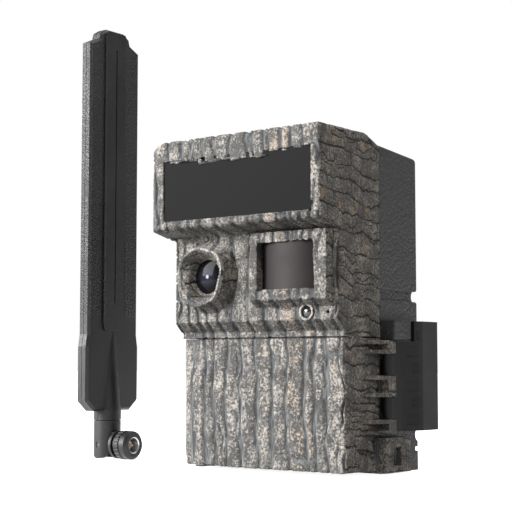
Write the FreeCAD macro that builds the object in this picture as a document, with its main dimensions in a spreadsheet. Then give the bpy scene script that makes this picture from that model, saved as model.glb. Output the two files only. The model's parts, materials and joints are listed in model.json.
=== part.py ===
import FreeCAD, Part
import math
import os
import re

import Sketcher
from FreeCAD import Placement, Rotation, Vector

# Trail camera with a paddle antenna standing unscrewed beside it.
# Frame: millimetres, front faces -Y, +X is the latch side, +Z is up. The origin is on the base plane, on the
# centre plane of the casing, under the middle of the rear casing's floor.

DIMENSIONS = {
    # outer sizes of the casing
    "width": (91.0, "casing width"),
    "top": (147.5, "height of the hood's top"),
    "door_front": (43.0, "door front, ahead of the origin"),
    "face_step": (5.0, "upper front face ahead of the door"),
    "hood_step": (13.0, "hood ahead of the upper front face"),
    "face_front": ("=door_front + face_step", "upper front face, ahead of the origin"),
    "hood_front": ("=face_front + hood_step", "hood front, ahead of the origin"),
    "split": (16.0, "joint between front and rear casing, ahead of the origin"),
    "back": (16.0, "back of the rear casing, behind the origin"),
    "seam": (58.8, "height of the seam over the door"),
    "hood_tall": (43.0, "hood height"),
    "under_rise": (3.1, "rise of the hood's underside towards its front"),
    "hood_bottom": ("=top - hood_tall", "height of the hood's underside"),
    "top_slope": (3.7, "drop of the hood's rear bevel"),
    "back_slope": (2.8, "further drop of the rear casing's top"),
    # walls and clearances
    "wall": (2.4, "casing wall"),
    "hood_wall": (3.4, "hood front wall, holding the infrared window"),
    "door_wall": (2.2, "door wall"),
    "tub_wall": (1.5, "battery bay wall"),
    "gap": (0.3, "clearance round parts that move"),
    "fit": (0.05, "radial clearance of a pin or shaft in its hole"),
    "seat": (0.1, "clearance round a piece that is set in and stays"),
    "corner": (5.0, "corner radius on the hinge side"),
    "crisp_corner": (2.3, "corner radius on the latch side"),
    "door_low": (1.8, "door's lower edge above the base plane"),
    "edge": (2.0, "radius round the front and back faces"),
    # infrared window and lamps
    "window_margin": (4.5, "infrared window to the hood's side"),
    "window_wide": ("=width - 2 * window_margin", "infrared window width"),
    "window_sill": (6.5, "infrared window above the hood's underside"),
    "window_low": ("=hood_bottom + window_sill", "infrared window lower edge"),
    "window_brow": (9.1, "infrared window below the hood's top"),
    "window_high": ("=top - window_brow", "infrared window upper edge"),
    "window_thick": (2.0, "infrared window thickness"),
    "ledge": (2.0, "ledge behind the infrared window"),
    "lamp_radius": (2.0, "infrared lamp radius"),
    "lamp_pitch_across": (7.6, "infrared lamp spacing across"),
    "lamp_pitch_up": (6.4, "infrared lamp spacing up"),
    # camera lens
    "lens_inset": (20.9, "lens axis from the casing's hinge side"),
    "lens_across": ("=-width / 2 + lens_inset", "lens axis from the centre plane"),
    "lens_drop": (18.2, "lens axis below the hood"),
    "lens_up": ("=hood_bottom - lens_drop", "lens axis height"),
    "rim_out": (7.0, "collar rim ahead of the upper front face"),
    "rim_radius": (13.0, "collar rim outer radius"),
    "rim_thick": (0.9, "collar rim thickness"),
    "collar_radius": (16.4, "collar radius at the face"),
    "lens_window_radius": (7.8, "lens window radius"),
    "lens_window_thick": (1.5, "lens window thickness"),
    "barrel_radius": (6.0, "lens barrel radius"),
    "sensor_half": (12.0, "half the image sensor board's side"),
    # heat sensor window
    "bezel_inset": (2.7, "raised bezel from the casing's latch side"),
    "bezel_wide": (40.3, "raised bezel width"),
    "bezel_tall": (31.1, "raised bezel height"),
    "bezel_drop": (0.8, "raised bezel below the hood"),
    "bezel_right": ("=width / 2 - bezel_inset", "raised bezel, right side"),
    "bezel_left": ("=bezel_right - bezel_wide", "raised bezel, left side"),
    "bezel_high": ("=hood_bottom - bezel_drop", "raised bezel, upper side"),
    "bezel_low": ("=bezel_high - bezel_tall", "raised bezel, lower side"),
    "bezel_out": (5.0, "bezel ahead of the upper front face"),
    "pane_wide": (30.2, "heat window width"),
    "pane_tall": (20.6, "heat window height"),
    "pane_right": ("=bezel_right - 6.4", "heat window, right side"),
    "pane_left": ("=pane_right - pane_wide", "heat window, left side"),
    "pane_low": ("=bezel_low + 6.4", "heat window, lower side"),
    "pane_high": ("=pane_low + pane_tall", "heat window, upper side"),
    "pane_radius": (36.0, "heat window's outer curve"),
    "pane_thick": (1.0, "heat window thickness"),
    "can_radius": (4.6, "heat sensor can radius"),
    # light sensor and microphone
    "light_across": ("=bezel_right - 13.4", "light sensor from the centre plane"),
    "light_up": ("=bezel_low - 3.3", "light sensor height"),
    "light_radius": (2.6, "light sensor dome radius"),
    "mic_across": ("=bezel_right - 2.6", "microphone from the centre plane"),
    "mic_up": ("=bezel_low - 3.5", "microphone height"),
    "mic_radius": (2.0, "microphone capsule radius"),
    "mic_hole": (0.8, "microphone hole radius"),
    # battery bay, seen from the front
    "tub_inset": (2.8, "bay's side inside the casing's side"),
    "tub_half": ("=width / 2 - tub_inset", "half the bay's outer width"),
    "tub_low": (2.7, "bay's underside"),
    "tub_high": ("=seam - 2.6", "bay's top"),
    "tub_front": ("=door_front - 10", "bay's front rim, ahead of the origin"),
    "partition": (-14.0, "wall between the control side and the battery side"),
    "tray_left": ("=partition + 1.1", "battery tray, left side"),
    "tray_right": ("=tub_half - tub_wall - 0.4", "battery tray, right side"),
    "tray_low": (4.6, "battery tray, underside"),
    "tray_wall": (1.2, "battery tray wall"),
    "tray_front": (23.6, "battery tray front, ahead of the origin"),
    "tray_back": (8.0, "battery tray back, behind the origin"),
    "cell_radius": (7.1, "AA cell radius"),
    "cell_length": (49.2, "AA cell body length"),
    "cell_pitch": ("=2 * cell_radius + 0.4", "spacing of the cells"),
    # control panel in the bay
    "panel_left": ("=-tub_half + 7.5", "control panel, left side"),
    "panel_front": ("=tub_front - 1.6", "control panel front, ahead of the origin"),
    "panel_thick": (1.6, "control panel thickness"),
    "board_thick": (1.6, "circuit board thickness"),
    "button_radius": (2.2, "button radius"),
    "button_up": (46.0, "height of the button row"),
    "button_pitch": (6.6, "spacing of the buttons"),
    # door, hinge and latch
    "hinge_inset": (5.0, "door hinge axis from the casing's side"),
    "hinge_across": ("=-width / 2 + hinge_inset", "door hinge axis from the centre plane"),
    "hinge_front": ("=door_front - hinge_inset", "door hinge axis, ahead of the origin"),
    "hinge_radius": (2.4, "hinge knuckle radius"),
    "hinge_pin": (1.0, "hinge pin radius"),
    "latch_reach": (3.5, "latch pin out from the casing's side"),
    "latch_across": ("=width / 2 + latch_reach", "latch pin from the centre plane"),
    "latch_front": ("=split - 0.3", "latch pin, ahead of the origin"),
    "latch_pin": (1.25, "latch pin radius"),
    "latch_barrel": (2.3, "latch barrel radius"),
    "latch_low": (18.2, "latch lever, lower end"),
    "latch_high": ("=seam + 7.2", "latch lever, finger tab's upper end"),
    "latch_thick": (2.2, "latch lever plate thickness"),
    "knuckle_out": ("=latch_across + latch_barrel + 0.1", "outer side of the latch knuckles"),
    "loop_out": ("=knuckle_out + 0.6", "outer side of the padlock loop"),
    "loop_high": (15.7, "top of the padlock loop"),
    # rear casing
    "groove_up": (77.5, "height of the security-cable groove"),
    "groove_radius": (3.0, "security-cable groove radius"),
    "groove_deep": (1.6, "depth of the groove along the side"),
    "tripod_up": (66.0, "tripod socket height"),
    "tripod_radius": (3.175, "tripod thread radius, 1/4 inch"),
    "tripod_deep": (8.0, "tripod socket depth"),
    "insert_radius": (5.0, "tripod insert radius"),
    "bracket_half": (33.0, "half the tree bracket's width"),
    "bracket_high": ("=top - 17.5", "tree bracket, upper edge"),
    "bracket_low": ("=bracket_high - 46", "tree bracket, lower edge"),
    "strap_wide": (26.0, "strap slot length, for a 25 mm strap"),
    "strap_gap": (5.0, "strap slot width"),
    # case screws
    "screw_inset": (8.9, "case screws from the casing's side"),
    "screw_across": ("=width / 2 - screw_inset", "case screws from the centre plane"),
    "screw_low": ("=seam + 8.6", "lower case screws, height"),
    "screw_high": ("=top - 15.9", "upper case screws, height"),
    "screw_radius": (1.5, "case screw thread radius"),
    "screw_head": (2.8, "case screw head radius"),
    "boss_radius": (4.2, "screw boss radius"),
    # antenna
    "antenna_across": (-113.9, "antenna elbow from the centre plane"),
    "antenna_front": (21.5, "antenna axis, ahead of the origin"),
    "antenna_up": (7.2, "antenna connector axis height"),
    "antenna_top": (217.7, "height of the paddle's tip"),
    "stem_radius": (6.8, "antenna stem radius"),
    "paddle_wide": (35.0, "paddle width"),
    "paddle_base": (37.0, "paddle width at its foot"),
    "paddle_thick": (7.6, "paddle thickness over the edges"),
    "paddle_low": (24.0, "paddle's lower edge, height"),
    "spine_wide": (16.0, "raised spine width"),
    "spine_out": (0.7, "raised spine height"),
    "tongue": (3.0, "half the elbow tongue's thickness"),
    "fold_pin": (1.4, "fold pin radius"),
    "nut_reach": (18.7, "elbow to the coupling nut's front face"),
    "nut_long": (8.2, "coupling nut length"),
    "nut_radius": (7.1, "coupling nut radius"),
    "thread_radius": (3.175, "antenna thread radius, 1/4-36"),
    "jack_shank": (3.0, "plain shank of the antenna jack inside the wall and its nut"),
    "jack_out": (9.0, "antenna jack ahead of the side wall"),
}

# heights of the knuckles, each span listed from its lower to its upper end
HINGE_DOOR = [("3", "14"), ("24.6", "34.6"), ("46", "seam - 2")]
HINGE_FIXED = [("14.3", "24.3"), ("34.9", "45.7")]
LATCH_KNUCKLES = [("seam - 7.1", "seam - 1.4"), ("33.2", "42.2"), ("17.2", "23.4")]
LATCH_BARRELS = [("42.5", "seam - 7.4"), ("23.7", "32.9")]
# grip pockets of the latch: middle height, height, length back from the bend
LATCH_POCKETS = [("59.7", "3.6", "2.8"), ("52.7", "4.6", "7.4"), ("45.5", "4.2", "4.6"), ("37.7", "4.6", "7.2"),
                 ("30.7", "4.2", "5"), ("23", "4.4", "7.4")]
# places of fasteners and fittings
SCREWS = [(side + "screw_across", height) for side in ("-", "") for height in ("screw_low", "screw_high")]
BOARD_SCREWS = [(side + "27", height) for side in ("-", "") for height in ("seam + 11.2", "top - 16.5")]
BRACKET_SCREWS = [("0", "bracket_low + 5"), ("0", "bracket_high - 5")]
POWER = ("0", "20")
COAX_RISE = ("panel_left + 3.9", "-antenna_front")

DOC = FreeCAD.newDocument("TrailCamera")
SHEET = DOC.addObject("Spreadsheet::Sheet", "Dims")
for row, (alias, (value, note)) in enumerate(DIMENSIONS.items(), 1):
    SHEET.set(f"A{row}", note)
    SHEET.set(f"B{row}", str(value))
    SHEET.setAlias(f"B{row}", alias)
DOC.recompute()

ALIAS = re.compile(r"\b(" + "|".join(sorted(DIMENSIONS, key=len, reverse=True)) + r")\b")
TURNS = {
    "x": Rotation(Vector(0, 1, 0), 90), "-x": Rotation(Vector(0, 1, 0), -90),
    "y": Rotation(Vector(1, 0, 0), -90), "-y": Rotation(Vector(1, 0, 0), 90),
    "z": Rotation(), "-z": Rotation(Vector(1, 0, 0), 180),
}
NODES = {}


def bound(text):
    """The text of an expression, with each named size pointing at its cell."""
    return ALIAS.sub(r"Dims.\1", str(text))


def number(text):
    return float(SHEET.evalExpression(bound(text)))


def place(part, at, turn=None):
    if turn is not None:
        part.Placement = Placement(Vector(), turn)
    for letter, where in zip("xyz", at):
        part.setExpression("Placement.Base." + letter, bound(where))
    return part


def node(label, part):
    part.Label = label
    NODES[label] = part
    return part


def block(name, x, y, z):
    part = DOC.addObject("Part::Box", name)
    for side, (low, high) in zip(("Length", "Width", "Height"), (x, y, z)):
        part.setExpression(side, bound(f"({high}) - ({low})"))
    return place(part, (x[0], y[0], z[0]))


def rod(name, axis, at, radius, length):
    part = DOC.addObject("Part::Cylinder", name)
    part.setExpression("Radius", bound(radius))
    part.setExpression("Height", bound(length))
    return place(part, at, TURNS[axis])


def cone(name, axis, at, radius, end_radius, length):
    part = DOC.addObject("Part::Cone", name)
    part.setExpression("Radius1", bound(radius))
    part.setExpression("Radius2", bound(end_radius))
    part.setExpression("Height", bound(length))
    return place(part, at, TURNS[axis])


def fuse(name, *parts):
    if len(parts) == 1:
        return parts[0]
    part = DOC.addObject("Part::MultiFuse", name)
    part.Shapes = list(parts)
    return part


def cut(name, base, *tools):
    part = DOC.addObject("Part::Cut", name)
    part.Base = base
    part.Tool = fuse(name + "_tools", *tools)
    return part


def common(name, *parts):
    part = DOC.addObject("Part::MultiCommon", name)
    part.Shapes = list(parts)
    return part


def group(name, *parts):
    """Separate solids of the same kind, kept in one node."""
    part = DOC.addObject("Part::Compound", name)
    part.Links = list(parts)
    return part


def rounded(name, base, radius, test):
    """Round the straight or curved edges whose middle passes the test."""
    DOC.recompute()
    size = number(radius)
    part = DOC.addObject("Part::Fillet", name)
    part.Base = base
    chosen = [i for i, edge in enumerate(base.Shape.Edges, 1) if test(edge)]
    part.Edges = [(i, size, size) for i in chosen]
    return part


def bevelled(name, base, size, test):
    DOC.recompute()
    leg = number(size)
    part = DOC.addObject("Part::Chamfer", name)
    part.Base = base
    chosen = [i for i, edge in enumerate(base.Shape.Edges, 1) if test(edge)]
    part.Edges = [(i, leg, leg) for i in chosen]
    return part


def along(edge, letter):
    """True of a straight edge that runs along one axis."""
    if len(edge.Vertexes) != 2 or edge.Curve.TypeId != "Part::GeomLine":
        return False
    return abs(getattr(edge.Curve.Direction, letter)) > 0.999


def middle(edge):
    return edge.valueAt((edge.FirstParameter + edge.LastParameter) / 2)


def outline(body, plane, points):
    """A closed sketch on one of the body's own planes, each corner bound to its two expressions."""
    sketch = body.newObject("Sketcher::SketchObject", body.Name + "_sketch")
    origin = [face for face in body.Origin.OriginFeatures if face.Role == plane + "_Plane"][0]
    sketch.AttachmentSupport = [(origin, "")]
    sketch.MapMode = "FlatFace"
    corners = [Vector(number(a), number(b), 0) for a, b in points]
    count = len(points)
    for i in range(count):
        sketch.addGeometry(Part.LineSegment(corners[i], corners[(i + 1) % count]))
    for i in range(count):
        sketch.addConstraint(Sketcher.Constraint("Coincident", i, 2, (i + 1) % count, 1))
    for i, corner in enumerate(points):
        for kind, text, value in zip(("DistanceX", "DistanceY"), corner, corners[i]):
            which = sketch.addConstraint(Sketcher.Constraint(kind, i, 1, value))
            sketch.setExpression(f"Constraints[{which}]", bound(text))
    return sketch


def plate(name, plane, points, low, high):
    """A straight body: an outline in one plane, pushed from low to high across it."""
    body = DOC.addObject("PartDesign::Body", name)
    pad = body.newObject("PartDesign::Pad", name + "_pad")
    sketch = outline(body, plane, points)
    pad.Profile = sketch
    pad.setExpression("Length", bound(f"({high}) - ({low})"))
    body.Tip = pad
    letter, sign = {"YZ": ("x", 1), "XZ": ("y", -1), "XY": ("z", 1)}[plane]
    start = low if sign > 0 else high
    return place(body, [start if axis == letter else "0" for axis in "xyz"])


def turned(name, axis, at, points):
    """A turned body: pairs of (distance along the axis, radius), revolved about the axis."""
    body = DOC.addObject("PartDesign::Body", name)
    spin = body.newObject("PartDesign::Revolution", name + "_turn")
    sketch = outline(body, "XZ", [(radius, distance) for distance, radius in points])
    spin.Profile = sketch
    spin.ReferenceAxis = (sketch, ["V_Axis"])
    spin.Angle = 360
    body.Tip = spin
    return place(body, at, TURNS[axis])


def rear_housing():
    """Rear casing: deep tray with the battery bay's tub standing forward of it."""
    half = "width / 2"
    solid = plate("rear_solid", "YZ", [
        ("-split", "0"), ("back", "0"), ("back", "top - top_slope - back_slope"),
        ("-split", "top - top_slope")], "-width / 2", half)
    back, high = number("back"), number("top - top_slope - back_slope")
    for side, radius in ((-1, "corner"), (1, "crisp_corner")):
        solid = rounded(f"rear_{radius}", solid, radius, lambda e, side=side: (
            side * middle(e).x > 1 and middle(e).z > high - 1 and middle(e).y < back - 1))
    solid = rounded("rear_edges", solid, "edge", lambda e: middle(e).y > back - 0.01)
    tub = block("tub", ("-tub_half", "tub_half"), ("-tub_front", "-split + wall"), ("tub_low", "tub_high"))
    cheek = block("cheek", ("-width / 2", "-tub_half"), ("-tub_front + gap", "-split"), ("0", "seam - gap"))
    bumper = block("latch_stop", ("width / 2", "knuckle_out + 1.6"), ("-split", "-2.2"),
                   ("seam - 1", "latch_high"))
    bumper = rounded("latch_stop_round", bumper, "0.8", lambda e: middle(e).x > number("knuckle_out"))
    keeper = block("latch_keeper", ("width / 2", "width / 2 + 1.6"), ("-9.4", "-7.4"), ("24", "50"))
    foot = block("foot_tooth", ("-width / 2 + edge", "width / 2 - edge"), ("back - 1", "back + 1"), ("1.6", "7.6"))
    comb = block("grip_tooth", ("-width / 2 + edge", "width / 2 - edge"), ("back - 1", "back + 1"),
                 ("11.4", "12.8"))
    arms = [block(f"hinge_arm_{i}", ("hinge_across + 0.4", "hinge_across + hinge_radius"),
                  ("-hinge_front", "-tub_front + 1"), span) for i, span in enumerate(HINGE_FIXED)]
    barrels = [rod(f"hinge_fixed_{i}", "z", ("hinge_across", "-hinge_front", span[0]), "hinge_radius",
                   f"({span[1]}) - ({span[0]})") for i, span in enumerate(HINGE_FIXED)]
    solid = fuse("rear_outer", solid, tub, cheek, foot, comb, *arms, *barrels)
    upper = block("upper_room", ("-width / 2 + wall", "width / 2 - wall"), ("-split - 1", "back - wall"),
                  ("tub_high", "top - top_slope - back_slope - wall"))
    inside = ("tub_low + tub_wall", "tub_high - tub_wall")
    lower = block("lower_room", ("-tub_half + tub_wall", "tub_half - tub_wall"),
                  ("-tub_front + tub_wall", "back - wall"), inside)
    mouth = block("lower_mouth", ("hinge_across + 6.1", "tub_half - tub_wall"),
                  ("-tub_front - 1", "-tub_front + tub_wall + 1"), inside)
    hollow = cut("rear_hollow", solid, upper, lower, mouth)
    posts = [rod(f"case_boss_{i}", "y", (x, "-split", z), "boss_radius", "split + back - 1")
             for i, (x, z) in enumerate(SCREWS)]
    stands = [rod(f"board_post_{i}", "y", (x, "-split - 1.2", z), "2.6", "split + 1.2 + back - 1")
              for i, (x, z) in enumerate(BOARD_SCREWS)]
    divider = block("divider", ("partition - 0.6", "partition + 0.6"), ("-panel_front + 6", "back - 1"),
                    ("tub_low", "tub_high"))
    rib = block("groove_rib", ("-width / 2 + 1", "width / 2 - 1"), ("back - wall - groove_radius - 1", "back - 1"),
                ("groove_up - 5", "groove_up + 5"))
    rib_low = block("tooth_rib", ("-width / 2 + 1", "width / 2 - 1"), ("tray_back + 0.4", "back - 1"),
                    ("tub_low", "20"))
    socket = rod("tripod_boss", "y", ("0", "back - tripod_deep - 2", "tripod_up"), "insert_radius + 2",
                 "tripod_deep + 1")
    rails = [block(f"panel_rail_{i}", x, ("-panel_front + panel_thick", "-panel_front + panel_thick + 3"),
                   ("tub_low + 1", "tub_high - 1"))
             for i, x in enumerate([("-tub_half + 1", "panel_left + 1"), ("partition - 0.9", "partition + 0.6")])]
    frame = fuse("rear_frame", hollow, *posts, *stands, divider, rib, rib_low, socket, *rails)
    tools = [rod(f"case_hole_{i}", "y", (x, "-split - 1", z), "screw_radius + 0.2", "split + back + 2")
             for i, (x, z) in enumerate(SCREWS)]
    tools += [rod(f"case_sink_{i}", "y", (x, "back - 4.2", z), "screw_head + 0.3", "6")
              for i, (x, z) in enumerate(SCREWS)]
    tools += [rod(f"board_hole_{i}", "y", (x, "-split - 4", z), "1", "9") for i, (x, z) in enumerate(BOARD_SCREWS)]
    tools += [rod("back_groove", "x", ("-width / 2 - 1", "back - 0.6", "groove_up"), "groove_radius", "width + 2")]
    tools += [rod("low_groove", "x", ("-width / 2 - 1", "back - 0.8", "15.6"), "2.8", "width + 2")]
    tools += [block("comb_slot", ("-width / 2 - 1", "width / 2 + 1"), ("back - 3.6", "back + 2"), ("8.4", "10.4"))]
    tools += [block(f"side_groove_{i}", x, ("-split - 1", "back + 1"), ("groove_up - 2.3", "groove_up + 2.3"))
              for i, x in enumerate([("-width / 2 - 1", "-width / 2 + groove_deep"),
                                     ("width / 2 - groove_deep", "width / 2 + 1")])]
    tools += [rod("tripod_seat", "-y", ("0", "back + 1", "tripod_up"), "insert_radius", "tripod_deep + 1")]
    tools += [rod("jack_hole", "x", ("-width / 2 - 1", "-antenna_front", "antenna_up"), "thread_radius + 0.1", "8")]
    tools += [rod("power_hole", "x", ("-width / 2 - 1", *POWER), "4.6", "8")]
    tools += [rod("coax_hole", "z", (*COAX_RISE, "tub_high - 4"), "1.2", "6")]
    tools += [rod(f"hinge_bore_{i}", "z", ("hinge_across", "-hinge_front", f"({span[0]}) - 1"), "hinge_pin + fit",
                  f"({span[1]}) - ({span[0]}) + 2") for i, span in enumerate(HINGE_FIXED)]
    tools += [rod(f"bracket_pilot_{i}", "y", (x, "back - 6", z), "1.1", "8") for i, (x, z) in enumerate(BRACKET_SCREWS)]
    return node("rear_housing", group("rear_housing", cut("rear_shell", frame, *tools), bumper, keeper))


def front_housing():
    """Front casing: hood over a stepped face, closed underneath by a floor over the battery door."""
    half = "width / 2"
    solid = plate("front_solid", "YZ", [
        ("-split", "seam"), ("-door_front", "seam"), ("-door_front", "seam + 2.7"), ("-face_front", "seam + 7.2"),
        ("-face_front", "hood_bottom"), ("-hood_front", "hood_bottom + under_rise"), ("-hood_front", "top"),
        ("-split - 9", "top"), ("-split", "top - top_slope")], "-width / 2", half)
    face, front = number("face_front"), number("hood_front")
    for side, radius in ((-1, "corner"), (1, "crisp_corner")):
        solid = rounded(f"front_{radius}", solid, radius, lambda e, side=side: (
            side * middle(e).x > 1 and -front + 1 < middle(e).y < -number("split") - 1
            and (middle(e).z > number("top") - 10 or along(e, "y") and middle(e).y < -face)))
    solid = rounded("front_edges", solid, "edge", lambda e: (
        middle(e).y < -front + 0.01 or along(e, "z") and -face - 0.1 < middle(e).y < -number("split") - 1))
    room = plate("front_room", "YZ", [
        ("-split + 1", "seam + wall"), ("-door_front + wall", "seam + wall"),
        ("-face_front + wall", "seam + 8"), ("-face_front + wall", "hood_bottom + wall"),
        ("-hood_front + hood_wall", "hood_bottom + wall + under_rise"), ("-hood_front + hood_wall", "top - wall"),
        ("-split - 9", "top - wall"), ("-split + 1", "top - top_slope - wall - 0.4")],
        "-width / 2 + wall", "width / 2 - wall")
    bezel = plate("bezel", "YZ", [
        ("-face_front + 1", "bezel_low - 1"), ("-face_front", "bezel_low - 1"),
        ("-face_front - bezel_out", "bezel_low + 2"), ("-face_front - bezel_out", "bezel_high"),
        ("-face_front + 1", "bezel_high")], "bezel_left", "bezel_right")
    collar = turned("collar", "-y", ("lens_across", "-face_front + 1", "lens_up"), [
        ("0", "0"), ("0", "collar_radius"), ("1", "collar_radius"), ("rim_out - 1.5", "rim_radius + 0.4"),
        ("rim_out + 1", "rim_radius"), ("rim_out + 1", "0")])
    ring = rod("light_rim", "-y", ("light_across", "-face_front + 1", "light_up"), "light_radius + 1", "1.8")
    bosses = [rod(f"front_boss_{i}", "-y", (x, "-split", z), "boss_radius", "16")
              for i, (x, z) in enumerate(SCREWS)]
    webs = [block(f"front_web_{i}", x, ("-split - 15", "-split - 2"), (f"{z} - 1", f"{z} + 1"))
            for z in ("screw_low", "screw_high")
            for i, x in enumerate([("-width / 2 + 1", "-screw_across"), ("screw_across", "width / 2 - 1")])]
    well = rod("lens_well_wall", "y", ("lens_across", "-face_front + 1", "lens_up"), "lens_window_radius + 1.6", "4")
    shell = fuse("front_shell", cut("front_hollow", solid, room), bezel, collar, ring, well, *bosses, *webs)
    bowl = turned("lens_bowl", "-y", ("lens_across", "-face_front - 1.6", "lens_up"), [
        ("0", "0"), ("0", "lens_window_radius + 0.3"), ("1", "lens_window_radius + 0.9"),
        ("rim_out - 1.6", "rim_radius - rim_thick"), ("rim_out", "rim_radius - rim_thick"), ("rim_out", "0")])
    tools = [
        bowl,
        rod("lens_seat", "y", ("lens_across", "-face_front - 2", "lens_up"), "lens_window_radius + seat",
            "lens_window_thick + 2"),
        rod("lens_hole", "y", ("lens_across", "-face_front - 2", "lens_up"), "lens_window_radius - 1.2", "9"),
        block("window_seat", ("-window_wide / 2 - seat", "window_wide / 2 + seat"),
              ("-hood_front - 1", "-hood_front + window_thick + 0.4"), ("window_low - seat", "window_high + seat")),
        block("window_hole", ("-window_wide / 2 + ledge", "window_wide / 2 - ledge"),
              ("-hood_front - 1", "-hood_front + hood_wall + 1"), ("window_low + ledge", "window_high - ledge")),
        block("pane_hole", ("pane_left", "pane_right"), ("-face_front - bezel_out - 1", "-face_front + wall + 1"),
              ("pane_low", "pane_high")),
        rod("light_hole", "y", ("light_across", "-face_front - 2", "light_up"), "light_radius + seat", "6"),
        rod("mic_hole", "y", ("mic_across", "-face_front - 2", "mic_up"), "mic_hole", "6"),
        rod("coax_pass", "z", (*COAX_RISE, "seam - 1"), "1.6", "4.4"),
    ]
    tools += [rod(f"front_pilot_{i}", "-y", (x, "-split + 1", z), "screw_radius", "15")
              for i, (x, z) in enumerate(SCREWS)]
    return node("front_housing", cut("front_housing", shell, *tools))


def housing_seal():
    """Cord seal inside the joint between the two casings, round the outside of the screw bosses."""
    y = ("-split - 1.5", "-split + 1.5")
    outer = block("seal_outer", ("-width / 2 + wall + seat", "width / 2 - wall - seat"), y,
                  ("seam + wall + seat", "top - top_slope - back_slope - wall - seat"))
    inner = block("seal_inner", ("-width / 2 + wall + 1.7", "width / 2 - wall - 1.7"), ("-split - 2", "-split + 2"),
                  ("seam + wall + 1.7", "top - top_slope - back_slope - wall - 1.7"))
    node("housing_seal", cut("housing_seal", outer, inner))


def infrared_parts():
    window = block("ir_pane", ("-window_wide / 2", "window_wide / 2"), ("-hood_front + 0.3",
                   "-hood_front + 0.3 + window_thick"), ("window_low", "window_high"))
    DOC.recompute()
    node("ir_window", rounded("ir_window", window, "1.2", lambda e: along(e, "y")))
    board = block("ir_board", ("-lamp_pitch_across * 5", "lamp_pitch_across * 5"),
                  ("-hood_front + 9.2", "-hood_front + 9.2 + board_thick"), ("hood_bottom + 5", "top - 6"))
    node("ir_led_board", board)
    lamps = []
    for column in range(10):
        for row in range(4):
            at = (f"lamp_pitch_across * {column - 4.5}", "-hood_front + 9.2",
                  f"(window_low + window_high) / 2 + lamp_pitch_up * {row - 1.5}")
            name = f"lamp_{column}_{row}"
            lamps.append(turned(name, "-y", at, [
                ("0", "0"), ("0", "lamp_radius + 0.3"), ("0.8", "lamp_radius + 0.3"), ("0.8", "lamp_radius"),
                ("3.4", "lamp_radius"), ("4.6", "lamp_radius * 0.8"), ("5.2", "lamp_radius * 0.4"), ("5.3", "0")]))
    node("ir_leds", group("ir_leds", *lamps))


def lens_parts():
    node("lens_window", rod("lens_window", "y", ("lens_across", "-face_front - 0.4", "lens_up"),
                            "lens_window_radius", "lens_window_thick"))
    barrel = turned("lens_barrel", "y", ("lens_across", "-face_front + 2.2", "lens_up"), [
        ("0", "0"), ("0", "barrel_radius * 0.72"), ("0.8", "barrel_radius * 0.72"), ("0.8", "barrel_radius + 0.4"),
        ("5", "barrel_radius + 0.4"), ("5", "barrel_radius"), ("14", "barrel_radius"), ("14", "0")])
    node("lens_barrel", barrel)
    holder = block("holder_block", ("lens_across - 8.4", "lens_across + 8.4"),
                   ("-face_front + 9.4", "-face_front + 21.4"), ("lens_up - 8.4", "lens_up + 8.4"))
    bore = rod("holder_bore", "y", ("lens_across", "-face_front + 8", "lens_up"), "barrel_radius + seat", "8.4")
    slot = block("holder_slot", ("lens_across - 9", "lens_across + 9"),
                 ("-face_front + 16.4", "-face_front + 18.2"), ("lens_up - 5", "lens_up + 5"))
    gate = block("holder_gate", ("lens_across - 4.2", "lens_across + 4.2"),
                 ("-face_front + 18", "-face_front + 22"), ("lens_up - 4.2", "lens_up + 4.2"))
    node("lens_holder", cut("lens_holder", holder, bore, slot, gate))
    slider = block("slider_plate", ("lens_across - 5", "lens_across + 11.4"),
                   ("-face_front + 16.8", "-face_front + 17.8"), ("lens_up - 4.6", "lens_up + 4.6"))
    hole = rod("slider_hole", "y", ("lens_across + 6.2", "-face_front + 16", "lens_up"), "2.4", "3")
    node("ir_cut_slider", cut("ir_cut_slider", slider, hole))
    board = block("sensor_board", ("lens_across - sensor_half", "lens_across + sensor_half"),
                  ("-face_front + 21.4", "-face_front + 21.4 + board_thick"),
                  ("lens_up - sensor_half", "lens_up + sensor_half"))
    node("sensor_board", board)
    node("image_sensor", block("image_sensor", ("lens_across - 3.6", "lens_across + 3.6"),
                               ("-face_front + 20.3", "-face_front + 21.4"), ("lens_up - 3.6", "lens_up + 3.6")))


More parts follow.
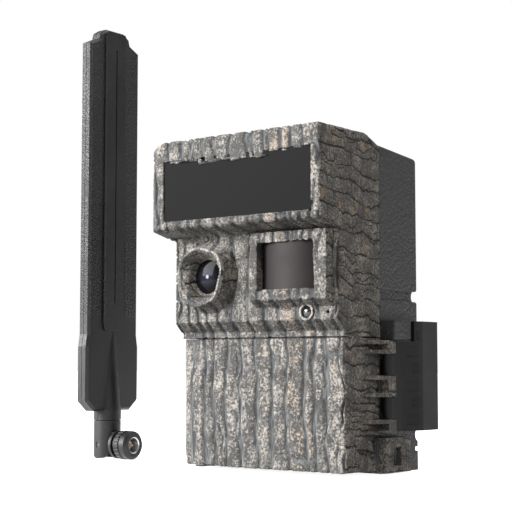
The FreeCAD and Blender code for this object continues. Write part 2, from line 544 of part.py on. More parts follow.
def sensing_parts():
    centre = "(pane_left + pane_right) / 2"
    axis_at = (centre, "-face_front - bezel_out + 0.8 + pane_radius", "pane_low + seat")
    tall = "pane_high - pane_low - 2 * seat"
    curve = cut("pane_curve", rod("pane_outer", "z", axis_at, "pane_radius", tall),
                rod("pane_inner", "z", axis_at, "pane_radius - pane_thick", tall))
    reach = block("pane_reach", ("pane_left + seat", "pane_right - seat"),
                  ("-face_front - bezel_out", "-face_front + wall"), ("pane_low", "pane_high"))
    flange = block("pane_flange", ("pane_left - 2", "pane_right + 2"),
                   ("-face_front + wall", "-face_front + wall + 1.2"), ("pane_low - 2", "pane_high + 2"))
    inner = block("pane_flange_hole", ("pane_left + 1.4", "pane_right - 1.4"),
                  ("-face_front", "-face_front + wall + 2"), ("pane_low + 1.4", "pane_high - 1.4"))
    sides = [block(f"pane_side_{i}", x, ("-face_front - 0.6", "-face_front + wall + 1.2"),
                   ("pane_low + seat", "pane_high - seat"))
             for i, x in enumerate([("pane_left + seat", "pane_left + 1.4"), ("pane_right - 1.4", "pane_right - seat")])]
    node("pir_lens", fuse("pir_lens", common("pane_shell", curve, reach), cut("pane_frame", flange, inner), *sides))
    can = turned("pir_sensor", "-y", (centre, "-split - 1.2 - board_thick", "(pane_low + pane_high) / 2"), [
        ("0", "0"), ("0", "can_radius * 0.5"), ("9", "can_radius * 0.5"), ("9", "can_radius + 0.5"),
        ("9.6", "can_radius + 0.5"), ("9.6", "can_radius"), ("13.4", "can_radius"), ("13.4", "0")])
    node("pir_sensor", can)
    light = turned("light_sensor", "-y", ("light_across", "-face_front + 5", "light_up"), [
        ("0", "0"), ("0", "light_radius"), ("4.4", "light_radius"), ("5.3", "light_radius * 0.8"),
        ("5.8", "light_radius * 0.4"), ("5.9", "0")])
    node("light_sensor", light)
    node("microphone", rod("microphone", "y", ("mic_across", "-face_front + wall", "mic_up"), "mic_radius", "1.8"))


def electronics():
    board = block("main_board_plate", ("-screw_across + boss_radius + 0.6", "screw_across - boss_radius - 0.6"),
                  ("-split - 1.2 - board_thick", "-split - 1.2"), ("seam + wall + 3", "top - wall - 9"))
    port = block("coax_port", (f"{COAX_RISE[0]} + 1.3", f"{COAX_RISE[0]} + 5.3"), ("-split - 6.8", "-split - 1.2 - board_thick"),
                 ("seam + 20", "seam + 23"))
    holes = [rod(f"main_hole_{i}", "y", (x, "-split - 8", z), "1.2", "8") for i, (x, z) in enumerate(BOARD_SCREWS)]
    node("main_board", cut("main_board", fuse("main_board_solid", board, port), *holes))
    node("modem_module", block("modem_module", ("-23", "7"), ("-split - 1.2", "-split + 1.6"), ("78", "108")))
    screws = [turned(f"board_screw_{i}", "y", (x, "-split - 1.2 - board_thick - 1.4", z), [
        ("0", "0"), ("0", "2"), ("1.4", "2"), ("1.4", "1"), ("7", "1"), ("7.6", "0.4"), ("7.6", "0")])
        for i, (x, z) in enumerate(BOARD_SCREWS)]
    node("board_screws", group("board_screws", *screws))
    screws = [turned(f"case_screw_{i}", "-y", (x, "back - 1.6", z), [
        ("0", "0"), ("0", "screw_head"), ("2.6", "screw_head"), ("2.6", "screw_radius"),
        ("back + split + 10", "screw_radius"), ("back + split + 11", "0.6"), ("back + split + 11", "0")])
        for i, (x, z) in enumerate(SCREWS)]
    recessed = [cut(f"case_screw_cross_{i}", screw,
                    block(f"cross_a_{i}", (f"({x}) - 0.4", f"({x}) + 0.4"), ("back - 2.8", "back"),
                          (f"({z}) - 1.7", f"({z}) + 1.7")),
                    block(f"cross_b_{i}", (f"({x}) - 1.7", f"({x}) + 1.7"), ("back - 2.8", "back"),
                          (f"({z}) - 0.4", f"({z}) + 0.4")))
                for i, (screw, (x, z)) in enumerate(zip(screws, SCREWS))]
    node("case_screws", group("case_screws", *recessed))


def control_side():
    """Control panel and what it carries, beside the battery tray."""
    front, high = "-panel_front", "tub_high - tub_wall"
    across = "(panel_left + partition) / 2"
    panel = block("panel_plate", ("panel_left", "partition - 0.8"), (front, "-panel_front + panel_thick"),
                  ("14", high + " - 0.2"))
    buttons = [("button_down", -1), ("button_ok", 0), ("button_up", 1)]
    holes = [rod(f"{name}_hole", "y", (f"{across} + button_pitch * {step}", "-panel_front - 1", "button_up"),
                 "button_radius + gap", "4") for name, step in buttons]
    holes += [block("card_mouth", ("partition - 7.6", "partition - 4.4"), ("-panel_front - 1", "-panel_front + 3"),
                    ("16.4", "41.4")),
              block("sim_mouth", ("partition - 12.6", "partition - 10.8"), ("-panel_front - 1", "-panel_front + 3"),
                    ("28.6", "41.4")),
              block("switch_mouth", ("panel_left + 2.2", "panel_left + 5.4"), ("-panel_front - 1", "-panel_front + 3"),
                    ("25.4", "38.6")),
              block("usb_mouth", ("partition - 13.4", "partition - 10"), ("-panel_front - 1", "-panel_front + 3"),
                    ("16.2", "25.4"))]
    node("control_panel", cut("control_panel", panel, *holes))
    for name, step in buttons:
        cap = turned(name, "-y", (f"{across} + button_pitch * {step}", "-panel_front + 3.4", "button_up"), [
            ("0", "0"), ("0", "button_radius + 0.7"), ("0.7", "button_radius + 0.7"), ("0.7", "button_radius"),
            ("4.5", "button_radius"), ("4.8", "button_radius - 0.4"), ("4.8", "0")])
        node(name, cap)
    knob = fuse("power_switch",
                block("knob", ("panel_left + 2.5", "panel_left + 5.1"), ("-panel_front - 1.6", "-panel_front + 3.4"),
                      ("26", "30")),
                block("knob_foot", ("panel_left + 2.2", "panel_left + 5.4"),
                      ("-panel_front + panel_thick + 0.6", "-panel_front + 3.4"), ("25.6", "30.4")))
    node("power_switch", knob)
    board = block("control_board", ("panel_left", "partition - 0.8"),
                  ("-panel_front + 5.2", "-panel_front + 5.2 + board_thick"), ("14", high + " - 0.2"))
    ways = [block("card_way", ("partition - 8", "partition - 4"), ("-panel_front + 4", "-panel_front + 8"),
                  ("15", "42.6")),
            block("sim_way", ("partition - 13", "partition - 10.4"), ("-panel_front + 4", "-panel_front + 8"),
                  ("27.6", "42.6")),
            block("usb_way", ("partition - 13.8", "partition - 9.6"), ("-panel_front + 4", "-panel_front + 8"),
                  ("15.6", "26"))]
    node("control_board", cut("control_board", board, *ways))
    slot = cut("card_slot",
               block("card_slot_body", ("partition - 7.9", "partition - 4.1"), ("-panel_front + 1.9", "0"),
                     ("15.4", "42.4")),
               block("card_slot_room", ("partition - 7.2", "partition - 4.8"), ("-panel_front", "-0.8"),
                     ("16.6", "41.2")))
    node("card_slot", slot)
    node("memory_card", bevelled("memory_card", block(
        "card_plate", ("partition - 7.05", "partition - 4.95"), ("-panel_front - 1.2", "-2"), ("16.9", "40.9")),
        "3", lambda e: along(e, "x") and middle(e).y > -5 and middle(e).z > 30))
    slot = cut("sim_slot",
               block("sim_slot_body", ("partition - 12.9", "partition - 10.5"), ("-panel_front + 1.9", "-14"),
                     ("27.8", "42.2")),
               block("sim_slot_room", ("partition - 12.2", "partition - 11.2"), ("-panel_front", "-14.6"),
                     ("28.9", "41.1")))
    node("sim_slot", slot)
    node("sim_card", bevelled("sim_card", block(
        "sim_plate", ("partition - 12.1", "partition - 11.3"), ("-panel_front - 1", "-panel_front + 14"),
        ("29.1", "40.9")), "2.5", lambda e: along(e, "x") and middle(e).y > -20 and middle(e).z > 35))
    shell = block("usb_body", ("partition - 13.3", "partition - 10.1"), ("-panel_front + 0.2", "-24"), ("16.3", "25.3"))
    tongue_room = block("usb_room", ("partition - 12.9", "partition - 10.5"), ("-panel_front - 1", "-25"),
                        ("16.7", "24.9"))
    tongue = block("usb_tongue", ("partition - 12.05", "partition - 11.35"), ("-panel_front + 1", "-24.5"),
                   ("17.6", "24"))
    node("usb_port", fuse("usb_port", cut("usb_shell", shell, tongue_room), tongue))


def battery_parts():
    """Tray of six AA cells lying across the bay, three high and two deep."""
    x = ("tray_left", "tray_right")
    y = ("-tray_front", "tray_back")
    z = ("tray_low", "tray_low + 3 * cell_pitch + 2 * tray_wall")
    tray = block("tray_block", x, y, z)
    room = block("tray_room", ("tray_left + tray_wall", "tray_right - tray_wall"),
                 ("-tray_front - 1", "tray_back - tray_wall"),
                 ("tray_low + tray_wall", "tray_low + tray_wall + 3 * cell_pitch"))
    grip = fuse("tray_grip", block("grip_plate", ("6", "22"), ("-tray_front - 4", "-tray_front + 1.6"),
                                   ("tray_low", "tray_low + tray_wall")))
    shelves = [block(f"tray_shelf_{i}", x, ("-tray_front + 3", "tray_back - 0.4"),
                     (f"tray_low + tray_wall + cell_pitch * {i} - 0.15",
                      f"tray_low + tray_wall + cell_pitch * {i} + 0.15")) for i in (1, 2)]
    node("battery_tray", fuse("battery_tray", cut("tray_shell", tray, room), grip, *shelves))
    cells, tabs = [], []
    depths = ["-tray_front + 0.8 + cell_radius", "tray_back - tray_wall - cell_radius - 0.2"]
    low = "tray_left + tray_wall + 0.6"
    for level in range(3):
        height = f"tray_low + tray_wall + cell_pitch * {level + 0.5}"
        for column, depth in enumerate(depths):
            turn = "x" if (level + column) % 2 == 0 else "-x"
            start = low if turn == "x" else f"{low} + cell_length"
            offset = "0" if turn == "x" else "0.9"
            name = f"cell_{level}_{column}"
            cells.append(turned(name, turn, (f"{start} + {offset}", depth, height), [
                ("0", "0"), ("0", "cell_radius - 0.4"), ("0.4", "cell_radius"), ("cell_length - 0.6", "cell_radius"),
                ("cell_length - 0.2", "cell_radius - 0.5"), ("cell_length - 0.2", "2.7"),
                ("cell_length + 0.8", "2.5"), ("cell_length + 0.8", "0")]))
            for side, (a, b) in enumerate([("tray_left + tray_wall", "tray_left + tray_wall + 0.5"),
                                           ("tray_right - tray_wall - 0.5", "tray_right - tray_wall")]):
                tabs.append(block(f"tab_{level}_{column}_{side}", (a, b), (f"{depth} - 5", f"{depth} + 5"),
                                  (f"{height} - 5", f"{height} + 5")))
    node("battery_cells", group("battery_cells", *cells))
    node("battery_contacts", group("battery_contacts", *tabs))


def lower_door():
    """Door over the battery bay: front, latch side and underside in one piece, rounded round its hinge."""
    half, high = "width / 2", "seam - gap"
    inner = "width / 2 - door_wall"
    front = block("door_front_plate", ("hinge_across", half), ("-door_front", "-door_front + door_wall"), ("door_low", high))
    side = block("door_side", (inner, half), ("-door_front", "-split - gap"), ("door_low", high))
    under = block("door_under", ("hinge_across + 1.5", half), ("-door_front", "-split - gap"),
                  ("door_low", "door_wall + 0.2"))
    over = block("door_over", ("hinge_across + 1.5", half), ("-door_front", "-tub_front - 1"),
                 (f"{high} - door_wall", high))
    nose_at = ("hinge_across", "-hinge_front", "door_low")
    nose = cut("door_nose",
               rod("nose_outer", "z", nose_at, "door_front - hinge_front", f"{high} - door_low"),
               rod("nose_inner", "z", ("hinge_across", "-hinge_front", "-1"), "hinge_radius + gap", "seam + 2"),
               block("nose_right", ("hinge_across", half), ("-door_front - 1", "0"), ("-1", "seam + 1")),
               block("nose_back", ("-width", "hinge_across + 1"), ("-hinge_front", "0"), ("-1", "seam + 1")))
    barrels = [rod(f"door_barrel_{i}", "z", ("hinge_across", "-hinge_front", span[0]), "hinge_radius + gap",
                   f"({span[1]}) - ({span[0]})") for i, span in enumerate(HINGE_DOOR)]
    webs = [block(f"door_web_{i}", ("hinge_across", "hinge_across + 3"), ("-door_front", "-hinge_front"), span)
            for i, span in enumerate(HINGE_DOOR)]
    ring = cut("door_ring",
               block("ring_out", ("hinge_across + 4.4", "tub_half - 0.1"), ("-door_front + 1", "-tub_front - 1.4"),
                     ("tub_low + 0.2", "tub_high - 0.2")),
               block("ring_in", ("hinge_across + 6", "tub_half - 1.5"), ("-door_front", "-tub_front"),
                     ("tub_low + 1.6", "tub_high - 1.6")))
    shell = fuse("door_shell", front, side, under, over, nose, *barrels, *webs, ring)
    DOC.recompute()
    front_y = -number("door_front")
    shell = rounded("door_edges", shell, "edge", lambda e: middle(e).x > number(half) - 0.01
                    and middle(e).y < front_y + 0.01)
    knuckles = []
    for i, (low, top) in enumerate(LATCH_KNUCKLES):
        end = block(f"knuckle_end_{i}", ("width / 2 + gap", "knuckle_out"), ("-latch_front - 3", "-latch_front + 2.7"),
                    (low, top))
        ribs = [plate(f"knuckle_rib_{i}_{k}", "XY", [
            (inner, "-31"), (half, "-31"), ("knuckle_out", "-latch_front - 5"), ("knuckle_out", "-latch_front - 2"),
            ("width / 2 + gap", "-latch_front - 2"), ("width / 2 + gap", "-split - gap"), (inner, "-split - gap")],
            a, b) for k, (a, b) in enumerate([(low, f"{low} + 1.6"), (f"{top} - 1.6", top)])]
        knuckles += [end, *ribs]
    loop = cut("padlock_loop",
               block("loop_plate", ("width / 2 + gap", "loop_out"), ("-split - 6", "-1.6"), ("door_low - 1", "loop_high")),
               block("loop_window", ("0", "width"), ("-split - gap", "-10"), ("3.6", "11.6")),
               block("loop_behind", ("0", "loop_out - 2.6"), ("-split - gap", "0"), ("3.6", "11.6")))
    loop = rounded("padlock_loop_round", loop, "1.2", lambda e: (
        middle(e).x > number("loop_out") - 0.01 and middle(e).y > -2))
    root = block("loop_root", (inner, "loop_out"), ("-split - 6", "-split - gap"), ("door_low - 1", "loop_high"))
    root = bevelled("loop_root_bevel", root, "5.5", lambda e: along(e, "z")
                    and middle(e).y < -number("split") - 5 and middle(e).x > number("loop_out") - 0.01)
    whole = fuse("door_whole", shell, *knuckles, loop, root)
    bores = [rod(f"latch_bore_{i}", "z", ("latch_across", "-latch_front", f"({low}) - 1"), "latch_pin",
                 f"({top}) - ({low}) + 2") for i, (low, top) in enumerate(LATCH_KNUCKLES)]
    bores += [rod(f"door_bore_{i}", "z", ("hinge_across", "-hinge_front", f"({span[0]}) - 1"), "hinge_pin + fit",
                  f"({span[1]}) - ({span[0]}) + 2") for i, span in enumerate(HINGE_DOOR)]
    node("lower_door", cut("lower_door", whole, *bores))
    node("door_hinge_pin", rod("door_hinge_pin", "z", ("hinge_across", "-hinge_front", "3.4"), "hinge_pin",
                               "seam - 7"))
    seal = cut("door_seal",
               block("door_seal_out", ("hinge_across + 4.4", "tub_half - 0.1"), ("-tub_front - 1.4", "-tub_front - 0.3"),
                     ("tub_low + 0.2", "tub_high - 0.2")),
               block("door_seal_in", ("hinge_across + 6", "tub_half - 1.5"), ("-door_front", "-tub_front + 1"),
                     ("tub_low + 1.6", "tub_high - 1.6")))
    node("door_seal", seal)


def latch_parts():
    """Lever on the door's knuckle pin: barrels, flared plate with alternating grip pockets, finger tab."""
    bend, tail = "width / 2 + 10.5", "back - 1.2"
    inner = f"{bend} - latch_thick"
    lever = plate("latch_plate", "XY", [
        ("latch_across + 1.2", "-latch_front + 4"), ("width / 2 + 5.5", "-7.1"), (bend, "2"), (bend, tail),
        (inner, tail), (inner, "2.6"), ("width / 2 + 3.5", "-6.2"), ("latch_across - 1.2", "-latch_front + 4")],
        "latch_low", "seam - 1.6")
    tab = plate("latch_tab", "XY", [
        (f"{bend} - 3.6 * 5 / 9.1", "-1.6"), (bend, "2"), (bend, tail), (inner, tail), (inner, "2.6"),
        (f"{bend} - 3.6 * 5 / 9.1 - latch_thick", "-1.6")], "seam - 4", "latch_high")
    barrels = [rod(f"latch_barrel_{i}", "z", ("latch_across", "-latch_front", low), "latch_barrel",
                   f"({top}) - ({low})") for i, (low, top) in enumerate(LATCH_BARRELS)]
    links = [block(f"latch_link_{i}", ("latch_across - 1.2", "latch_across + 1.2"),
                   ("-latch_front", "-latch_front + 5"), span) for i, span in enumerate(LATCH_BARRELS)]
    claw = block("latch_claw", ("width / 2 + 2", "width / 2 + 4.6"), ("-7", "-5"), ("25", "49"))
    solid = fuse("latch_solid", lever, tab, *barrels, *links, claw)
    pockets = []
    for i, (centre, tall, deep) in enumerate(LATCH_POCKETS):
        near = f"2 - {deep}"
        slope = "(10.5 - 5.5) / (2 + 7.1)"
        pockets.append(plate(f"latch_pocket_{i}", "XY", [
            (f"width / 2 + 10.5 - {slope} * {deep} - 1.1", near),
            (f"width / 2 + 10.5 - {slope} * {deep} + 2.5", near),
            ("width / 2 + 12.5", "1.6"), ("width / 2 + 10.3", "1.6")],
            f"{centre} - {tall} / 2", f"{centre} + {tall} / 2"))
    bore = rod("latch_bore", "z", ("latch_across", "-latch_front", "latch_low - 2"), "latch_pin + fit",
               "seam - latch_low + 4")
    node("latch_lever", cut("latch_lever", solid, bore, *pockets))
    node("latch_pin", rod("latch_pin", "z", ("latch_across", "-latch_front", LATCH_KNUCKLES[-1][0]), "latch_pin",
                          f"({LATCH_KNUCKLES[0][1]}) - ({LATCH_KNUCKLES[-1][0]})"))


def side_fittings():
    """Antenna jack, external-power jack and plug, tripod insert and tree bracket."""
    wall_at = ("-width / 2", "-antenna_front", "antenna_up")
    body = turned("jack_body", "-x", wall_at, [
        ("-8.4", "0"), ("-8.4", "1.6"), ("-6.6", "1.6"), ("-6.6", "2.6"), ("-4.3", "2.6"), ("-4.3", "jack_shank"),
        ("3", "jack_shank"), ("3", "thread_radius"), ("jack_out", "thread_radius"), ("jack_out", "0")])
    flange = block("jack_flange", ("-width / 2 + 4.3", "-width / 2 + 6"),
                   ("-antenna_front - 4", "-antenna_front + 4"), ("tub_low + tub_wall + 0.1", "antenna_up + 4.4"))
    recess = rod("jack_recess", "-x", ("-width / 2 - jack_out + 6", "-antenna_front", "antenna_up"), "2.3", "7")
    socket = rod("jack_socket", "-x", ("-width / 2 - jack_out + 8", "-antenna_front", "antenna_up"), "1.2", "7")
    insert = rod("jack_core", "-x", ("-width / 2 - jack_out + 7", "-antenna_front", "antenna_up"), "1.9", "3.5")
    sleeve = cut("jack_sleeve", insert, rod("jack_core_bore", "-x", ("-width / 2 - jack_out + 5",
                 "-antenna_front", "antenna_up"), "0.7", "9"))
    node("antenna_jack", fuse("antenna_jack", cut("jack_shell", body, recess, socket), flange, sleeve))
    hexagon = plate("jack_nut_hex", "YZ", [
        (f"-antenna_front + 4.6 * cos({60 * k + 30})", f"antenna_up + 4.6 * sin({60 * k + 30})")
        for k in range(6)], "-width / 2 - 3", "-width / 2 - 0.8")
    node("jack_nut", cut("jack_nut", hexagon, rod("jack_nut_bore", "-x", ("-width / 2", "-antenna_front",
         "antenna_up"), "jack_shank", "4")))
    node("jack_seal", cut("jack_seal",
                          rod("jack_seal_disc", "-x", wall_at, "5", "0.8"),
                          rod("jack_seal_bore", "-x", ("-width / 2 + 1", "-antenna_front", "antenna_up"),
                              "jack_shank", "3")))
    power_at = ("-width / 2 + 1.2", *POWER)
    jack = turned("dc_jack", "x", power_at, [
        ("0", "2.9"), ("0", "4.4"), ("9", "4.4"), ("9", "0"), ("8", "0"), ("8", "2.9")])
    node("dc_jack", jack)
    plug = turned("dc_plug", "x", ("-width / 2 - 1.4", *POWER), [
        ("0", "0"), ("0", "6"), ("1.2", "6.4"), ("1.2", "2.7"), ("7", "2.7"), ("7.6", "2.2"), ("7.6", "0")])
    node("dc_plug", plug)
    insert = turned("tripod_brass", "-y", ("0", "back", "tripod_up"), [
        ("0", "0"), ("0", "insert_radius"), ("tripod_deep", "insert_radius"), ("tripod_deep", "0")])
    node("tripod_insert", cut("tripod_insert", insert, rod("tripod_bore", "-y", ("0", "back + 1", "tripod_up"),
                                                          "tripod_radius", "tripod_deep + 0.2")))
    base = block("bracket_plate", ("-bracket_half", "bracket_half"), ("back", "back + 3"),
                 ("bracket_low", "bracket_high"))
    base = rounded("bracket_round", base, "4", lambda e: along(e, "y"))
    jaws = []
    for side in (-1, 1):
        for step in range(7):
            low = f"bracket_low + 4 + {step} * 5.6"
            x = (f"{side} * (bracket_half - 5) - 3", f"{side} * (bracket_half - 5) + 3")
            jaws.append(plate(f"bracket_tooth_{side + 1}_{step}", "YZ", [
                ("back + 2", low), ("back + 7", f"{low} + 1.6"), ("back + 7", f"{low} + 2.6"),
                ("back + 2", f"{low} + 4.2")], x[0], x[1]))
    loops = [block(f"strap_rail_{i}", (f"{x} - 6", f"{x} + 6"), ("back + 2", "back + 9"),
                   ("(bracket_low + bracket_high - strap_wide) / 2 - 3",
                    "(bracket_low + bracket_high + strap_wide) / 2 + 3")) for i, x in enumerate(("-17", "17"))]
    slots = [block(f"strap_slot_{i}", (f"{x} - 7", f"{x} + 7"), ("back + 1.6", "back + 1.6 + strap_gap"),
                   ("(bracket_low + bracket_high - strap_wide) / 2",
                    "(bracket_low + bracket_high + strap_wide) / 2")) for i, x in enumerate(("-17", "17"))]
    holes = [rod(f"bracket_hole_{i}", "y", (x, "back - 1", z), "1.5", "9") for i, (x, z) in enumerate(BRACKET_SCREWS)]
    node("tree_bracket", cut("tree_bracket", fuse("bracket_solid", base, *jaws, *loops), *slots, *holes))
    screws = [turned(f"bracket_screw_{i}", "-y", (x, "back + 5", z), [
        ("0", "0"), ("0", "2"), ("1", "2.6"), ("2", "2.6"), ("2", "1.1"), ("9.6", "1.1"), ("10.2", "0.5"),
        ("10.2", "0")]) for i, (x, z) in enumerate(BRACKET_SCREWS)]
    node("bracket_screws", group("bracket_screws", *screws))


def coax():
    """Thin cable held inside, from the antenna jack up along the bay and through the floor to the main board."""
    start, level = number("-width / 2 + 8.4"), number("antenna_up")
    across, depth = number(COAX_RISE[0]), number(COAX_RISE[1])
    end = across + 3.3
    turn = across - start - 3
    route = [(start, level), (start + 3, level), (across, level + turn), (across, number("seam + 6")),
             (end, number("seam + 14")), (end, number("seam + 20"))]
    points = [Vector(x, depth, z) for x, z in route]
    part = DOC.addObject("Part::Feature", "antenna_cable")
    part.Shape = tube(points, 0.7)
    node("antenna_cable", part)


def tube(points, radius):
    """A round cable: straight runs joined by tangent arcs, each arc as large as its two runs allow."""
    pieces, last = [], points[0]
    for before, here, after in zip(points, points[1:], points[2:]):
        come, go = (here - before).normalize(), (after - here).normalize()
        turn = come.getAngle(go)
        reach = 0.45 * min((here - before).Length, (after - here).Length)
        enter, leave = here - come * reach, here + go * reach
        bend = reach / math.tan(turn / 2)
        print(f"cable bend radius {bend:.1f} mm")
        inward = (go - come).normalize()
        centre = here + inward * (bend / math.cos(turn / 2))
        pieces += [Part.LineSegment(last, enter).toShape(),
                   Part.Arc(enter, centre - inward * bend, leave).toShape()]
        last = leave
    pieces.append(Part.LineSegment(last, points[-1]).toShape())
    path = Part.Wire(pieces)
    heading = (points[1] - points[0]).normalize()
    section = Part.Wire([Part.Circle(points[0], heading, radius).toShape()])
    solid = path.makePipeShell([section], True, True)
    length = sum(piece.Length for piece in pieces)
    print(f"cable length {length:.1f} mm, volume over section times length "
          f"{solid.Volume / (math.pi * radius ** 2 * length):.4f}")
    return solid


def antenna_plug():
    """Plug, coupling nut and elbow arm of the antenna, lying along X."""
    elbow = ("antenna_across", "-antenna_front", "antenna_up")
    back = "nut_reach - nut_long"
    neck = "tongue - 0.3"
    node("plug_barrel", turned("plug_barrel", "x", elbow, [
        ("4.6", "0"), ("4.6", "1.9"), (f"{back} - 1.6", "1.9"), (f"{back} - 1.6", "5.7"), (f"{back} - 0.2", "5.7"),
        (f"{back} - 0.2", neck), (f"{back} + 1.9", neck), (f"{back} + 1.9", "thread_radius - 0.6"),
        (f"{back} + 2.5", "thread_radius - 0.6"), (f"{back} + 2.5", "0")]))
    start = ("antenna_across + nut_reach - nut_long + 2.5", "-antenna_front", "antenna_up")
    insulator = rod("plug_insulator_rod", "x", start, "2.1", "2.1")
    node("plug_insulator", cut("plug_insulator", insulator, rod("plug_insulator_bore", "x", start, "0.45", "4")))
    node("plug_contact", turned("plug_contact", "x", start, [
        ("0", "0"), ("0", "0.45"), ("4.2", "0.45"), ("4.6", "0.2"), ("4.6", "0")]))
    sleeve, bore = "4.1", "thread_radius + 0.3"
    at = ("antenna_across + nut_reach - nut_long", "-antenna_front", "antenna_up")
    nut = turned("nut_body", "x", at, [
        ("0", f"{neck} + fit"), ("0", "nut_radius - 0.5"), ("0.5", "nut_radius"), ("3.2", "nut_radius"),
        ("3.4", "nut_radius - 0.5"), ("3.9", "nut_radius - 0.5"), ("4.1", "nut_radius - 0.1"),
        ("nut_long - 1.3", "nut_radius - 0.1"), ("nut_long", "nut_radius - 1.4"), ("nut_long", sleeve),
        ("1.8", sleeve), ("1.8", f"{neck} + fit")])
    flutes = [rod(f"nut_flute_{k}", "x", ("antenna_across + nut_reach - nut_long - 0.5",
                  f"-antenna_front + (nut_radius + 0.1) * cos({15 * k})",
                  f"antenna_up + (nut_radius + 0.1) * sin({15 * k})"), "0.45", "3.8") for k in range(24)]
    node("coupling_nut", cut("coupling_nut", nut, *flutes))
    node("nut_insert", turned("nut_insert", "x", at, [
        ("1.8", bore), ("1.8", sleeve), ("nut_long - 0.3", sleeve), ("nut_long - 0.3", f"{sleeve} - 0.3"),
        ("nut_long - 0.6", bore)]))
    tongue = common("arm_tongue",
                    block("tongue_plate", ("antenna_across - stem_radius", "antenna_across + stem_radius + 0.6"),
                          ("-antenna_front - tongue", "-antenna_front + tongue"),
                          ("antenna_up - stem_radius + 0.6", "antenna_up + stem_radius - 0.6")),
                    fuse("tongue_shape",
                         rod("tongue_round", "y", ("antenna_across", "-antenna_front - 5", "antenna_up"),
                             "stem_radius - 0.6", "10"),
                         block("tongue_neck", ("antenna_across", "antenna_across + stem_radius + 1"),
                               ("-antenna_front - 5", "-antenna_front + 5"),
                               ("antenna_up - stem_radius + 0.6", "antenna_up + stem_radius - 0.6"))))
    disc = rod("arm_disc", "x", ("antenna_across + stem_radius + 0.3", "-antenna_front", "antenna_up"),
               "stem_radius", "nut_reach - nut_long - stem_radius - 2.1")
    node("connector_arm", cut("connector_arm", fuse("arm_solid", tongue, disc),
                              rod("arm_bore", "x", ("antenna_across + 4.4", "-antenna_front", "antenna_up"),
                                  "1.9 + fit", "8"),
                              rod("arm_pin_bore", "y", ("antenna_across", "-antenna_front - 8", "antenna_up"),
                                  "fold_pin + fit", "16")))


def antenna_paddle():
    """Stem with its two ears, the fold pin, and the paddle's two shells round the radiator board."""
    centre, middle_y = "antenna_across", "-antenna_front"
    collar = "paddle_low - 4.6"
    column = rod("stem_column", "z", (centre, middle_y, "antenna_up"), "stem_radius", f"{collar} - antenna_up - 0.3")
    ears = common("stem_ears",
                  rod("stem_below", "z", (centre, middle_y, "antenna_up - stem_radius"), "stem_radius",
                      "stem_radius + 1"),
                  rod("stem_round", "y", (centre, "-antenna_front - stem_radius", "antenna_up"), "stem_radius",
                      "2 * stem_radius"))
    spigot = rod("stem_spigot", "z", (centre, middle_y, f"{collar} - 1"), "stem_radius - 2.2", "paddle_low - 8")
    slot = block("stem_slot", ("antenna_across - 8", "antenna_across + 8"),
                 ("-antenna_front - tongue - gap", "-antenna_front + tongue + gap"),
                 ("antenna_up - 8", "antenna_up + stem_radius - 0.2"))
    bore = rod("stem_bore", "y", (centre, "-antenna_front - 8", "antenna_up"), "fold_pin", "16")
    node("stem_fork", cut("stem_fork", fuse("stem_solid", column, ears, spigot), slot, bore))
    node("fold_pin", rod("fold_pin", "y", (centre, "-antenna_front - stem_radius + 0.5", "antenna_up"), "fold_pin",
                         "2 * stem_radius - 1"))
    node("radiator_board", block("radiator_board", ("antenna_across - 0.5", "antenna_across + 0.5"),
                                 ("-antenna_front - 6", "-antenna_front + 6"), ("paddle_low + 16", "antenna_top - 18")))
    for side, label in ((1, "paddle_front"), (-1, "paddle_back")):
        node(label, half_paddle(side, label, collar))


